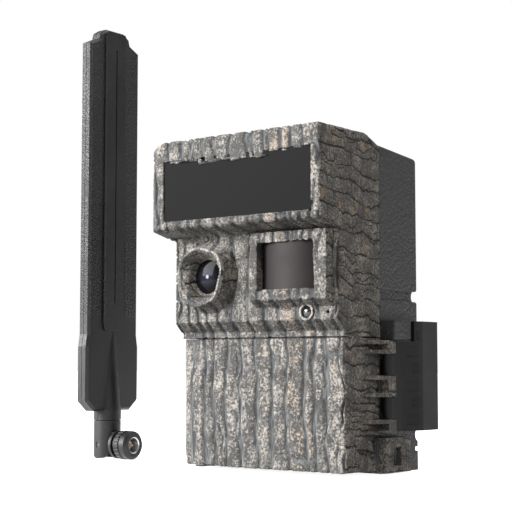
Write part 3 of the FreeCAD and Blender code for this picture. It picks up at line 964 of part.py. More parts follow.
def half_paddle(side, label, collar):
    """One half shell: tapering edges, a raised spine with a slit, a spear-shaped fairing over the stem."""
    foot, wide, spine = "paddle_base / 2", "paddle_wide / 2", "spine_wide / 2"
    right = [(f"{foot} - 5.8", "paddle_low"), (foot, "paddle_low + 5"), (foot, "paddle_low + 32"), (wide, "paddle_low + 38"),
             (wide, "antenna_top - 8.6"), (f"{spine} + 3", "antenna_top - 5.4"), (f"{spine} + 2.2", "antenna_top - 2.4"),
             (f"{spine} - 1.6", "antenna_top")]
    left = [(f"-({across})", height) for across, height in reversed(right)]
    shape = [(f"-antenna_front + ({across})", height) for across, height in right + left]

    def span(near, far):
        ends = [f"antenna_across + {side} * ({depth})" for depth in (near, far)]
        return ends if side > 0 else ends[::-1]

    half = "paddle_thick / 2"
    slab = plate(label + "_slab", "YZ", shape, *span("0.12", half))
    face = number(f"antenna_across + {side} * {half}")
    slab = bevelled(label + "_bevel", slab, "1.2", lambda e: abs(middle(e).x - face) < 0.01)
    ridge = plate(label + "_spine", "YZ", [
        (f"-antenna_front - {spine} + 1", "paddle_low + 40"), (f"-antenna_front + {spine} - 1", "paddle_low + 40"),
        (f"-antenna_front + {spine}", "paddle_low + 44"), (f"-antenna_front + {spine}", "antenna_top - 4"),
        (f"-antenna_front + {spine} - 2", "antenna_top - 1"), (f"-antenna_front - {spine} + 2", "antenna_top - 1"),
        (f"-antenna_front - {spine}", "antenna_top - 4"), (f"-antenna_front - {spine}", "paddle_low + 44")],
        *span(f"{half} - 0.5", f"{half} + spine_out"))
    spear = cone(label + "_spear", "z", ("antenna_across", "-antenna_front", "paddle_low - 1"),
                 "stem_radius + 0.1", f"{half} - 0.2", "44")
    sleeve = rod(label + "_sleeve", "z", ("antenna_across", "-antenna_front", collar), "stem_radius + 0.1", "5")
    keep = block(label + "_half", span("0.12", "20"), ("-antenna_front - 30", "-antenna_front + 30"),
                 ("0", "antenna_top"))
    fairing = common(label + "_fairing", fuse(label + "_round", spear, sleeve), keep)
    room = block(label + "_room", span("0", "0.7"), ("-antenna_front - 6.2", "-antenna_front + 6.2"),
                 ("paddle_low + 15.6", "antenna_top - 17.6"))
    well = rod(label + "_well", "z", ("antenna_across", "-antenna_front", f"{collar} - 1"),
               "stem_radius - 2.1", "paddle_low - 7.4")
    slit = block(label + "_slit", span(f"{half} + spine_out - 0.5", f"{half} + spine_out + 1"),
                 ("-antenna_front - 0.3", "-antenna_front + 0.3"), ("paddle_low + 54", "antenna_top - 10"))
    return cut(label, fuse(label + "_solid", slab, ridge, fairing), room, well, slit)


rear_housing()
front_housing()
housing_seal()
infrared_parts()
lens_parts()
sensing_parts()
electronics()
control_side()
battery_parts()
lower_door()
latch_parts()
side_fittings()
coax()
antenna_plug()
antenna_paddle()
DOC.recompute()

for item in DOC.Objects:
    if "Invalid" in item.State or "Error" in item.State:
        raise RuntimeError(f"{item.Label} did not build: {item.State}")
for label, part in NODES.items():
    if part.Shape.isNull() or not part.Shape.isValid() or not part.Shape.Solids:
        raise RuntimeError(f"{label} has no valid solid")

os.makedirs("parts", exist_ok=True)
for label, part in NODES.items():
    part.Shape.exportStep(f"parts/{label}.step")
print(len(NODES), "sub-parts written")
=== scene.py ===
import bpy, bmesh, json, math
import numpy as np
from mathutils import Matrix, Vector
from mathutils.bvhtree import BVHTree


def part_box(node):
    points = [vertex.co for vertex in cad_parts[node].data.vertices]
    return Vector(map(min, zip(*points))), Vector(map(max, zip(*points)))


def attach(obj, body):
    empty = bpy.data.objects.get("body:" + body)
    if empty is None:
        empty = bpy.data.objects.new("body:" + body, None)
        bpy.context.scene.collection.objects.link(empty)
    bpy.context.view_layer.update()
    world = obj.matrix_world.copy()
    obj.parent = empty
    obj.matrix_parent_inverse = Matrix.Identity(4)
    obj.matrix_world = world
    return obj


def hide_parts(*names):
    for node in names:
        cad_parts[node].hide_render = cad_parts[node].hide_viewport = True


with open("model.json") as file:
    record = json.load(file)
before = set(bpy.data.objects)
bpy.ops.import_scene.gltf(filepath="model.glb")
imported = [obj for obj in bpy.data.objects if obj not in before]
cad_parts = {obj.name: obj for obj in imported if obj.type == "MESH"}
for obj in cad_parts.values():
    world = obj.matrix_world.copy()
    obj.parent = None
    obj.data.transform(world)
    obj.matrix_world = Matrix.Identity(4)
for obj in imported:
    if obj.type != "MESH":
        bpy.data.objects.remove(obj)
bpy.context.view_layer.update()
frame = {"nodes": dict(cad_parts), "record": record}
nodes = frame["nodes"]
scene = bpy.context.scene
mm = 0.001
print("frame loaded:", len(nodes), "nodes")

# camera, floor and lights
cameraSet = {"place": (0.35428, -0.49802, 0.04717), "tilt": 94.73, "turn": 38.06, "lens": 92.0, "sensor": 36.0}
studio = {
    "floorColor": (0.93, 0.93, 0.93, 1), "floorGlow": 0.9, "floorHalf": 6.0,
    "skyColor": (1.0, 1.0, 1.0, 1), "skySeen": 1.0, "skyHigh": 0.5, "skyLow": 0.1,
    "skyFrom": -0.25, "skyTo": 0.6,  # how far down and up the sky goes from low to high
    "lamps": {  # place, aim, size, watts
        "keyLamp": ((-0.95, -1.15, 0.62), (0.0, 0.0, 0.09), 0.8, 48.0),
        "topLamp": ((0.0, 0.25, 1.6), (0.0, 0.0, 0.0), 1.2, 9.0),
        "sideLamp": ((1.6, -0.2, 0.75), (0.0, 0.0, 0.1), 1.0, 6.0),
    },
}


def makeCamera(spec):
    data = bpy.data.cameras.new("camera")
    data.sensor_width, data.lens = spec["sensor"], spec["lens"]
    data.clip_start, data.clip_end = 0.01, 50
    camera = bpy.data.objects.new("camera", data)
    camera.location = spec["place"]
    camera.rotation_euler = (math.radians(spec["tilt"]), 0, math.radians(spec["turn"]))
    scene.collection.objects.link(camera)
    scene.camera = camera


def makeStudio(spec):
    half = spec["floorHalf"]
    mesh = bpy.data.meshes.new("floor")
    corners = [(-half, -half, 0), (half, -half, 0), (half, half, 0), (-half, half, 0)]
    mesh.from_pydata(corners, [], [(0, 1, 2, 3)])
    floor = bpy.data.objects.new("floor", mesh)
    scene.collection.objects.link(floor)
    look = bpy.data.materials.new("floorPaper")
    look.use_nodes = True
    skin = look.node_tree.nodes["Principled BSDF"]
    skin.inputs["Base Color"].default_value = spec["floorColor"]
    skin.inputs["Roughness"].default_value = 1.0
    skin.inputs["Specular IOR Level"].default_value = 0.0
    skin.inputs["Emission Color"].default_value = (1, 1, 1, 1)
    skin.inputs["Emission Strength"].default_value = spec["floorGlow"]
    mesh.materials.append(look)
    floor.visible_diffuse = False
    for name, (place, aim, size, watts) in spec["lamps"].items():
        lamp = bpy.data.lights.new(name, "AREA")
        lamp.size, lamp.energy = size, watts
        holder = bpy.data.objects.new(name, lamp)
        holder.location = place
        holder.rotation_euler = (Vector(aim) - Vector(place)).to_track_quat("-Z", "Y").to_euler()
        scene.collection.objects.link(holder)
    world = bpy.data.worlds.new("studioAir")
    world.use_nodes = True
    scene.world = world
    tree = world.node_tree
    air = tree.nodes["Background"]
    air.inputs["Color"].default_value = spec["skyColor"]
    path = tree.nodes.new("ShaderNodeLightPath")
    aim = tree.nodes.new("ShaderNodeTexCoord")
    split = tree.nodes.new("ShaderNodeSeparateXYZ")
    rise = tree.nodes.new("ShaderNodeMapRange")
    seen = tree.nodes.new("ShaderNodeMix")
    tree.links.new(aim.outputs["Generated"], split.inputs[0])
    tree.links.new(split.outputs[2], rise.inputs["Value"])
    limits = {"From Min": "skyFrom", "From Max": "skyTo", "To Min": "skyLow", "To Max": "skyHigh"}
    for label, key in limits.items():
        rise.inputs[label].default_value = spec[key]
    tree.links.new(path.outputs["Is Camera Ray"], seen.inputs[0])
    tree.links.new(rise.outputs[0], seen.inputs[2])
    seen.inputs[3].default_value = spec["skySeen"]
    tree.links.new(seen.outputs[0], air.inputs["Strength"])
    scene.view_settings.view_transform = "Standard"


makeCamera(cameraSet)
makeStudio(studio)
print("camera and studio ready")


# small makers for node trees
def wire(tree, socket, value):
    if isinstance(value, bpy.types.NodeSocket):
        tree.links.new(value, socket)
    else:
        socket.default_value = value


def put(tree, kind, inputs=None, **settings):
    node = tree.nodes.new(kind)
    for key, value in settings.items():
        setattr(node, key, value)
    for key, value in (inputs or {}).items():
        wire(tree, node.inputs[key], value)
    return node


def calc(tree, operation, first, second=0.0, third=0.0):
    node = put(tree, "ShaderNodeMath", {0: first, 1: second, 2: third}, operation=operation)
    return node.outputs[0]


def step(tree, value, low, high, toLow=0.0, toHigh=1.0):
    inputs = {"Value": value, "From Min": low, "From Max": high, "To Min": toLow, "To Max": toHigh}
    return put(tree, "ShaderNodeMapRange", inputs, interpolation_type="SMOOTHSTEP").outputs[0]


def blendValue(tree, mask, first, second):
    node = put(tree, "ShaderNodeMix", {0: mask, 2: first, 3: second}, data_type="FLOAT")
    return node.outputs[0]


def blendColor(tree, mask, first, second, mode="MIX"):
    node = put(tree, "ShaderNodeMix", {0: mask, 6: first, 7: second}, data_type="RGBA", blend_type=mode)
    return node.outputs[2]


def flat(tree, across, along, wide, tall):
    first = calc(tree, "DIVIDE", across, wide)
    second = calc(tree, "DIVIDE", along, tall)
    return put(tree, "ShaderNodeCombineXYZ", {0: first, 1: second}).outputs[0]


def noiseAt(tree, vector, scale=1.0, detail=2.0, rough=0.5, dimensions="2D"):
    inputs = {"Vector": vector, "Scale": scale, "Detail": detail, "Roughness": rough}
    return put(tree, "ShaderNodeTexNoise", inputs, noise_dimensions=dimensions).outputs[0]


def newTree(name, kind, inputs, outputs):
    tree = bpy.data.node_groups.new(name, kind)
    for label, (sort, start) in inputs.items():
        socket = tree.interface.new_socket(label, in_out="INPUT", socket_type=sort)
        if start is not None:
            socket.default_value = start
    for label, sort in outputs.items():
        tree.interface.new_socket(label, in_out="OUTPUT", socket_type=sort)
    return tree, tree.nodes.new("NodeGroupInput").outputs, tree.nodes.new("NodeGroupOutput").inputs


# the bark pattern, shared by shape and colour; lengths in mm
barkSet = {
    "front": {
        "pitch": 7.6, "spread": 0.8, "wander": (17.0, 30.0, 8.0), "wobble": (4.5, 8.0, 1.5),
        "jag": (1.2, 1.9, 0.8), "groove": (0.03, 0.19), "widen": 0.17,
        "branchPitch": 9.0, "branchCut": (0.02, 0.1),
        "branchWhere": (0.5, 0.6), "breakPitch": 22.0, "breakCut": (0.004, 0.04), "breakLeft": 0.4},
    "side": {
        "pitch": 7.0, "spread": 1.0, "wander": (24.0, 14.0, 7.0), "wobble": (5.5, 3.6, 1.6),
        "jag": (1.6, 1.1, 0.8), "groove": (0.0, 0.085), "widen": 0.1,
        "branchPitch": 5.2, "branchCut": (0.0, 0.09),
        "branchWhere": (0.4, 0.5), "breakPitch": 19.0, "breakCut": (0.0, 0.045), "breakLeft": 0.55},
    "lean": 0.12, "sideShift": 60.0,  # side cracks fall a little towards the back
    "rise": 0.32, "depth": 1.05, "grain": 0.2, "sliceFine": 0.7, "sharpAngle": 38,
    "weld": 2e-6, "lookOut": 2e-5,  # metres: doubles merged, start of the outward ray
    "sideFrom": 0.55, "sideOver": 0.3,  # how far a face turns sideways before the side pattern takes over
}
laneSet = {
    "widenScale": (8.0, 13.0), "branchSway": 2.3, "branchSpread": 0.8, "whereScale": (15.0, 21.0),
    "breakSway": 1.5, "breakShift": 37.0,
}


def barkLanes(tree, across, along, spec):
    def swing(scale, reach, detail=2.0):
        field = noiseAt(tree, flat(tree, across, along, *scale), 1.0, detail)
        return calc(tree, "MULTIPLY", calc(tree, "SUBTRACT", field, 0.5), reach)

    def laneEdge(lane, spread):
        node = put(tree, "ShaderNodeTexVoronoi", {"W": lane, "Scale": 1.0, "Randomness": spread},
                   voronoi_dimensions="1D", feature="DISTANCE_TO_EDGE")
        return node.outputs[0]

    broad = swing(spec["wander"][:2], spec["wander"][2])
    middle = swing(spec["wobble"][:2], spec["wobble"][2])
    jagged = swing(spec["jag"][:2], spec["jag"][2], 3.0)
    bent = calc(tree, "ADD", calc(tree, "ADD", across, broad), calc(tree, "ADD", middle, jagged))
    lane = calc(tree, "DIVIDE", bent, spec["pitch"])
    tone = put(tree, "ShaderNodeTexVoronoi", {"W": lane, "Scale": 1.0, "Randomness": spec["spread"]},
               voronoi_dimensions="1D", feature="F1").outputs[1]
    tone = put(tree, "ShaderNodeSeparateXYZ", {0: tone}).outputs[0]
    widen = swing(laneSet["widenScale"], spec["widen"])
    ridge = step(tree, calc(tree, "ADD", laneEdge(lane, spec["spread"]), widen), *spec["groove"])
    sway = calc(tree, "MULTIPLY", broad, laneSet["branchSway"])
    branchLane = calc(tree, "ADD", sway, calc(tree, "ADD", across, middle))
    branch = laneEdge(calc(tree, "DIVIDE", branchLane, spec["branchPitch"]), laneSet["branchSpread"])
    where = noiseAt(tree, flat(tree, across, along, *laneSet["whereScale"]), 1.0, 1.0)
    where = step(tree, where, *spec["branchWhere"])
    branch = calc(tree, "MAXIMUM", step(tree, branch, *spec["branchCut"]), where)
    bentAlong = calc(tree, "ADD", along, calc(tree, "MULTIPLY", middle, laneSet["breakSway"]))
    breakLane = calc(tree, "DIVIDE", bentAlong, spec["breakPitch"])
    breakLane = calc(tree, "ADD", breakLane, calc(tree, "MULTIPLY", tone, laneSet["breakShift"]))
    broken = step(tree, laneEdge(breakLane, 1.0), *spec["breakCut"], spec["breakLeft"], 1.0)
    return calc(tree, "MINIMUM", calc(tree, "MINIMUM", ridge, branch), broken), tone


def barkPattern(kind, spec):
    tree, given, result = newTree("barkPattern" + kind[:4], kind,
                                  {"Position": ("NodeSocketVector", None), "Side": ("NodeSocketFloat", 0.0)},
                                  {"Height": "NodeSocketFloat", "Tone": "NodeSocketFloat"})
    parts = put(tree, "ShaderNodeSeparateXYZ", {0: given["Position"]}).outputs
    across, deep, high = [calc(tree, "MULTIPLY", parts[i], 1 / mm) for i in range(3)]
    front, frontTone = barkLanes(tree, across, calc(tree, "ADD", high, deep), spec["front"])
    leaning = calc(tree, "ADD", high, calc(tree, "MULTIPLY", deep, spec["lean"]))
    side, sideTone = barkLanes(tree, leaning, calc(tree, "ADD", deep, spec["sideShift"]), spec["side"])
    wire(tree, result["Height"], blendValue(tree, given["Side"], front, side))
    wire(tree, result["Tone"], blendValue(tree, given["Side"], frontTone, sideTone))
    return tree


barkShape = barkPattern("GeometryNodeTree", barkSet)
barkShade = barkPattern("ShaderNodeTree", barkSet)


grainNoise = (900.0, 3.0, 0.6)  # scale, detail, roughness


def barkRelief():
    tree, given, result = newTree("barkRelief", "GeometryNodeTree", {
        "Geometry": ("NodeSocketGeometry", None), "Rise": ("NodeSocketFloat", 0.0003),
        "Depth": ("NodeSocketFloat", 0.001), "Grain": ("NodeSocketFloat", 0.0001),
        "Finish": ("NodeSocketMaterial", None)},
        {"Geometry": "NodeSocketGeometry"})

    def stored(name):
        return put(tree, "GeometryNodeInputNamedAttribute", {"Name": name}, data_type="FLOAT").outputs[0]

    place = put(tree, "GeometryNodeInputPosition").outputs[0]
    facing = put(tree, "GeometryNodeInputNormal").outputs[0]
    pattern = put(tree, "GeometryNodeGroup", node_tree=barkShape)
    wire(tree, pattern.inputs["Position"], place)
    wire(tree, pattern.inputs["Side"], stored("sideMask"))
    sunk = calc(tree, "MULTIPLY", calc(tree, "SUBTRACT", 1.0, pattern.outputs["Height"]), given["Depth"])
    rough = calc(tree, "MULTIPLY", noiseAt(tree, place, *grainNoise, "3D"), given["Grain"])
    rise = calc(tree, "SUBTRACT", calc(tree, "SUBTRACT", given["Rise"], sunk), rough)
    push = calc(tree, "MULTIPLY", rise, stored("relief"))
    offset = put(tree, "ShaderNodeVectorMath", {0: facing, 3: push}, operation="SCALE").outputs[0]
    moved = put(tree, "GeometryNodeSetPosition", {"Geometry": given["Geometry"], "Offset": offset}).outputs[0]
    real = put(tree, "GeometryNodeRealizeInstances", {0: moved}).outputs[0]
    done = put(tree, "GeometryNodeSetMaterial", {"Geometry": real, "Material": given["Finish"]}).outputs[0]
    wire(tree, result["Geometry"], done)
    return tree


reliefTree = barkRelief()


def runTree(piece, tree, values):
    modifier = piece.modifiers.new(tree.name, "NODES")
    modifier.node_group = tree
    for item in tree.interface.items_tree:
        if item.item_type == "SOCKET" and item.in_out == "INPUT" and item.name in values:
            modifier[item.identifier] = values[item.name]
    graph = bpy.context.evaluated_depsgraph_get()
    mesh = bpy.data.meshes.new_from_object(piece.evaluated_get(graph), depsgraph=graph)
    piece.modifiers.remove(modifier)
    piece.data = mesh
    return piece


# finishes
def newLook(name):
    look = bpy.data.materials.new(name)
    look.use_nodes = True
    return look, look.node_tree, look.node_tree.nodes["Principled BSDF"]


def axisOf(tree, where, index):
    return put(tree, "ShaderNodeSeparateXYZ", {0: where}).outputs[index]


barkInk = {
    "grey": ((0.088, 0.084, 0.08, 1), (0.56, 0.525, 0.48, 1)), "warmth": (1.0, 0.9, 0.83, 1),
    "slate": ((0.07, 0.073, 0.076, 1), (0.27, 0.275, 0.275, 1)),
    "brown": ((0.085, 0.078, 0.07, 1), (0.34, 0.315, 0.28, 1)), "ochre": (1.0, 0.83, 0.66, 1),
    "crackPrintAndShade": (0.022, 0.021, 0.02, 1), "edge": ((0.085, 0.088, 0.088, 1), (0.21, 0.212, 0.205, 1)),
    "fleck": (1100.0, 4.0, 0.75), "patch": (110.0, 3.0, 0.6), "cell": 700.0,  # scale, detail, roughness
    "patchShare": 0.55, "cellShare": -0.14, "tintShare": 0.2, "bright": (0.43, 0.7),
    "warmPatch": 2.0, "warm": (0.62, 1.1), "ochrePatch": 2.2, "ochreFrom": (0.85, 1.35),
    "streak": (900, 900, 110), "streakNoise": (1.0, 3.0, 0.6),
    "streakSlate": (0.35, 0.75), "streakEdge": (0.3, 0.7),
    "frontRise": (0.3, 0.85), "sideRise": (0.25, 0.9),
    "rough": 0.72, "shine": 0.28, "bump": 0.6, "bumpDeep": 0.0004,
}
seamSet = {"color": (0.02, 0.02, 0.02, 1), "half": (0.0002, 0.0006), "ahead": (0.0005, 0.0025)}  # metres


def barkFinish(ink, seam):
    look, tree, skin = newLook("barkPrint")
    where = put(tree, "ShaderNodeTexCoord").outputs["Object"]

    def stored(name):
        return put(tree, "ShaderNodeAttribute", attribute_name=name).outputs["Fac"]

    def shaded(value, reach, amount, limits):
        return step(tree, calc(tree, "ADD", value, calc(tree, "MULTIPLY", reach, amount)), *limits)

    side = stored("sideMask")
    pattern = put(tree, "ShaderNodeGroup", node_tree=barkShade)
    wire(tree, pattern.inputs["Position"], where)
    wire(tree, pattern.inputs["Side"], side)
    height, tone = pattern.outputs
    fleck = noiseAt(tree, where, *ink["fleck"], "3D")
    patch = calc(tree, "SUBTRACT", noiseAt(tree, where, *ink["patch"], "3D"), 0.5)
    cell = put(tree, "ShaderNodeTexVoronoi", {"Vector": where, "Scale": ink["cell"]}, feature="F1").outputs[0]
    mixed = calc(tree, "ADD", fleck, calc(tree, "MULTIPLY", patch, ink["patchShare"]))
    cell = calc(tree, "SUBTRACT", cell, 0.5)
    mixed = calc(tree, "ADD", mixed, calc(tree, "MULTIPLY", cell, ink["cellShare"]))
    # the stored rim attribute brightens the print: painted highlight on part of the lens rim, and a bright
    # ring round the light sensor
    bright = shaded(mixed, stored("litRimAndRing"), ink["tintShare"], ink["bright"])
    # front: pale printed ridges over slate grooves
    grey = blendColor(tree, bright, *ink["grey"])
    warm = shaded(tone, patch, ink["warmPatch"], ink["warm"])
    ridge = blendColor(tree, warm, grey, ink["warmth"], "MULTIPLY")
    streakAt = put(tree, "ShaderNodeMapping", {0: where, 3: ink["streak"]}).outputs[0]
    streak = noiseAt(tree, streakAt, *ink["streakNoise"], "3D")
    slate = blendColor(tree, step(tree, streak, *ink["streakSlate"]), *ink["slate"])
    front = blendColor(tree, step(tree, height, *ink["frontRise"]), slate, ridge)
    # sides: brown flakes over nearly black cracks; the cracks are print, darkened to near black as painted
    # shade
    ochre = shaded(tone, patch, ink["ochrePatch"], ink["ochreFrom"])
    brown = blendColor(tree, bright, *ink["brown"])
    brown = blendColor(tree, ochre, brown, ink["ochre"], "MULTIPLY")
    across = blendColor(tree, step(tree, height, *ink["sideRise"]), ink["crackPrintAndShade"], brown)
    bark = blendColor(tree, side, front, across)
    edgeSlate = blendColor(tree, step(tree, streak, *ink["streakEdge"]), *ink["edge"])
    bark = blendColor(tree, stored("edgeMask"), bark, edgeSlate)
    # dark line along the joint between the door and the front casing
    joint = (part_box("lower_door")[1].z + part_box("front_housing")[0].z) / 2
    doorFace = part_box("lower_door")[0].y
    off = calc(tree, "ABSOLUTE", calc(tree, "SUBTRACT", axisOf(tree, where, 2), joint))
    near, far = [doorFace + reach for reach in seam["ahead"]]
    ahead = step(tree, axisOf(tree, where, 1), near, far, 1.0, 0.0)
    line = calc(tree, "MULTIPLY", step(tree, off, *seam["half"], 1.0, 0.0), ahead)
    bark = blendColor(tree, line, bark, seam["color"])
    wire(tree, skin.inputs["Base Color"], bark)
    skin.inputs["Roughness"].default_value = ink["rough"]
    skin.inputs["Specular IOR Level"].default_value = ink["shine"]
    inputs = {"Strength": ink["bump"], "Distance": ink["bumpDeep"], "Height": fleck}
    bump = put(tree, "ShaderNodeBump", inputs)
    wire(tree, skin.inputs["Normal"], bump.outputs[0])
    return look


grainSet = {
    "smooth": 0.6, "fine": (4200.0, 2.0, 0.6), "fineShare": 0.25, "cloudDetail": 4.0, "cloud": (0.3, 0.7),
}


def grainGroup(spec):
    tree, given, result = newTree("surfaceGrain", "ShaderNodeTree", {
        "Position": ("NodeSocketVector", None), "Pebble": ("NodeSocketFloat", 900.0),
        "Cloud": ("NodeSocketFloat", 60.0), "Pebbled": ("NodeSocketFloat", 1.0)},
        {"Height": "NodeSocketFloat", "Variation": "NodeSocketFloat"})
    inputs = {"Vector": given["Position"], "Scale": given["Pebble"], "Smoothness": spec["smooth"]}
    pebble = put(tree, "ShaderNodeTexVoronoi", inputs, feature="SMOOTH_F1").outputs[0]
    fine = noiseAt(tree, given["Position"], *spec["fine"], "3D")
    pebble = calc(tree, "MULTIPLY", calc(tree, "SUBTRACT", 1.0, pebble), given["Pebbled"])
    inputs = {"Vector": given["Position"], "Scale": given["Cloud"], "Detail": spec["cloudDetail"]}
    cloud = put(tree, "ShaderNodeTexNoise", inputs, noise_dimensions="3D").outputs[0]
    wire(tree, result["Height"], calc(tree, "ADD", pebble, calc(tree, "MULTIPLY", fine, spec["fineShare"])))
    wire(tree, result["Variation"], step(tree, cloud, *spec["cloud"]))
    return tree


surfaceGrain = grainGroup(grainSet)


def dressed(name, low, high, rough, metal=0.0, pebble=900.0, pebbled=1.0, bumpDepth=0.05, shine=0.5,
            spread=0.12, cloud=60.0, coat=0.0):
    look, tree, skin = newLook(name)
    where = put(tree, "ShaderNodeTexCoord").outputs["Object"]
    grain = put(tree, "ShaderNodeGroup", node_tree=surfaceGrain)
    for label, value in (("Position", where), ("Pebble", pebble), ("Cloud", cloud), ("Pebbled", pebbled)):
        wire(tree, grain.inputs[label], value)
    height, variation = grain.outputs
    wire(tree, skin.inputs["Base Color"], blendColor(tree, variation, (*low, 1), (*high, 1)))
    wire(tree, skin.inputs["Roughness"], step(tree, variation, 0.0, 1.0, rough, rough + spread))
    skin.inputs["Metallic"].default_value = metal
    skin.inputs["Specular IOR Level"].default_value = shine
    skin.inputs["Coat Weight"].default_value = coat
    bump = put(tree, "ShaderNodeBump", {"Strength": 0.7, "Distance": bumpDepth * mm, "Height": height})
    wire(tree, skin.inputs["Normal"], bump.outputs[0])
    return look, tree, skin, grain, where


paddleSet = {"spine": (0.0066, 0.0072), "flare": (0.069, 0.075)}  # metres off the middle, and up


def antennaFinish(spec):
    look, tree, _, grain, where = dressed("antennaPlastic", (0.016, 0.016, 0.017), (0.021, 0.021, 0.022), 0.34,
                                          pebble=1300.0, bumpDepth=0.4, shine=0.42)
    low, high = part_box("paddle_front")
    off = calc(tree, "ABSOLUTE", calc(tree, "SUBTRACT", axisOf(tree, where, 1), (low.y + high.y) / 2))
    strip = step(tree, off, *spec["spine"])
    above = step(tree, axisOf(tree, where, 2), *spec["flare"])
    wire(tree, grain.inputs["Pebbled"], calc(tree, "MULTIPLY", strip, above))
    return look


# painted reflection and painted highlight: a lighter bluish disc and a small pale dot at the centre of the
# lens stand in for reflections in the glass
lensGlassAndShine = {
    "reflectionFrom": (0.0015, 0.0062), "highlightFrom": (0.0004, 0.0011),  # metres off the axis
    "outer": (0.006, 0.006, 0.007, 1), "paintedReflection": (0.026, 0.028, 0.04, 1), "paintedHighlight": (0.55, 0.57, 0.68, 1),
}


def lensFinish(spec):
    look, tree, skin, _, where = dressed("lensGlass", (0.006, 0.007, 0.01), (0.012, 0.014, 0.02), 0.03,
                                         pebbled=0.0, bumpDepth=0.0, shine=0.05, spread=0.02)
    low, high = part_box("lens_window")
    dx = calc(tree, "SUBTRACT", axisOf(tree, where, 0), (low.x + high.x) / 2)
    dz = calc(tree, "SUBTRACT", axisOf(tree, where, 2), (low.z + high.z) / 2)
    squares = calc(tree, "ADD", calc(tree, "MULTIPLY", dx, dx), calc(tree, "MULTIPLY", dz, dz))
    radius = calc(tree, "SQRT", squares)
    # painted reflection over the middle of the lens, with a painted highlight dot at its centre
    inner = step(tree, radius, *spec["reflectionFrom"], 1.0, 0.0)
    highlightMask = step(tree, radius, *spec["highlightFrom"], 1.0, 0.0)
    paintedReflection = blendColor(tree, inner, spec["outer"], spec["paintedReflection"])
    wire(tree, skin.inputs["Base Color"], blendColor(tree, highlightMask, paintedReflection, spec["paintedHighlight"]))
    return look


# painted shade: the heat window darkens towards both sides, standing for the shading of its curved face and
# leaving a lighter middle band
paneSideShade = {"fade": (0.1, 0.95), "middle": (0.042, 0.036, 0.036, 1), "side": (0.017, 0.013, 0.014, 1)}


def paneFinish(spec):
    look, tree, skin, _, where = dressed("heatPane", (0.04, 0.035, 0.035), (0.042, 0.037, 0.037), 0.42,
                                         pebbled=0.3, pebble=1600.0, bumpDepth=0.02, shine=0.12)
    low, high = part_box("pir_lens")
    middle, half = (low.x + high.x) / 2, (high.x - low.x) / 2
    # painted shade, growing towards the left and right edges of the pane
    off = calc(tree, "DIVIDE", calc(tree, "SUBTRACT", axisOf(tree, where, 0), middle), half)
    edge = step(tree, calc(tree, "ABSOLUTE", off), *spec["fade"])
    wire(tree, skin.inputs["Base Color"], blendColor(tree, edge, spec["middle"], spec["side"]))
    return look


# painted shade: the latch lever is darker on every face set back from its outermost face, in its pockets and
# recesses
latchRecessShade = {"fade": (0.0016, 0.0004), "deep": (0.006, 0.006, 0.006, 1), "face": (0.018, 0.018, 0.018, 1)}


def latchFinish(spec):
    look, tree, skin, _, where = dressed("latchPlastic", (0.016, 0.016, 0.016), (0.019, 0.019, 0.019), 0.46,
                                         pebble=2200.0, bumpDepth=0.04, shine=0.22)
    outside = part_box("latch_lever")[1].x
    # painted shade, from the deep colour in the recesses to the face colour at the outer face
    shade = step(tree, axisOf(tree, where, 0), outside - spec["fade"][0], outside - spec["fade"][1])
    wire(tree, skin.inputs["Base Color"], blendColor(tree, shade, spec["deep"], spec["face"]))
    return look


boardTint = {
    "traceScale": 320.0, "traceSpread": 0.6, "trace": (0.16, 0.2),
    "mask": (0.02, 0.11, 0.052, 1), "copper": (0.45, 0.4, 0.25, 1),
}


def boardFinish(spec):
    look, tree, skin, _, where = dressed("boardMask", (0.015, 0.09, 0.045), (0.025, 0.13, 0.06), 0.3,
                                         pebbled=0.0, bumpDepth=0.02, cloud=300.0)
    inputs = {"Vector": where, "Scale": spec["traceScale"], "Randomness": spec["traceSpread"]}
    trace = put(tree, "ShaderNodeTexVoronoi", inputs, feature="F1", distance="CHEBYCHEV").outputs[0]
    mask = step(tree, trace, *spec["trace"], 1.0, 0.0)
    wire(tree, skin.inputs["Base Color"], blendColor(tree, mask, spec["mask"], spec["copper"]))
    return look


cellTint = {  # metres in from the ends
    "foot": (0.0005, 0.0012), "tip": (0.0034, 0.0028), "band": (0.0165, 0.0155),
    "sleeve": (0.03, 0.05, 0.085, 1), "stripe": (0.42, 0.25, 0.12, 1), "metal": (0.62, 0.62, 0.62, 1),
}


def cellFinish(spec):
    look, tree, skin, _, where = dressed("cellSleeve", (0.03, 0.05, 0.085), (0.04, 0.065, 0.1), 0.3,
                                         pebbled=0.0, bumpDepth=0.01, coat=0.4)
    low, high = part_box("battery_cells")
    across = axisOf(tree, where, 0)
    foot = step(tree, across, low.x + spec["foot"][0], low.x + spec["foot"][1], 1.0, 0.0)
    ends = calc(tree, "ADD", foot, step(tree, across, high.x - spec["tip"][0], high.x - spec["tip"][1]))
    band = step(tree, across, high.x - spec["band"][0], high.x - spec["band"][1])
    sleeve = blendColor(tree, band, spec["sleeve"], spec["stripe"])
    wire(tree, skin.inputs["Base Color"], blendColor(tree, ends, sleeve, spec["metal"]))
    wire(tree, skin.inputs["Metallic"], ends)
    return look


def plain(*args, **settings):
    return dressed(*args, **settings)[0]


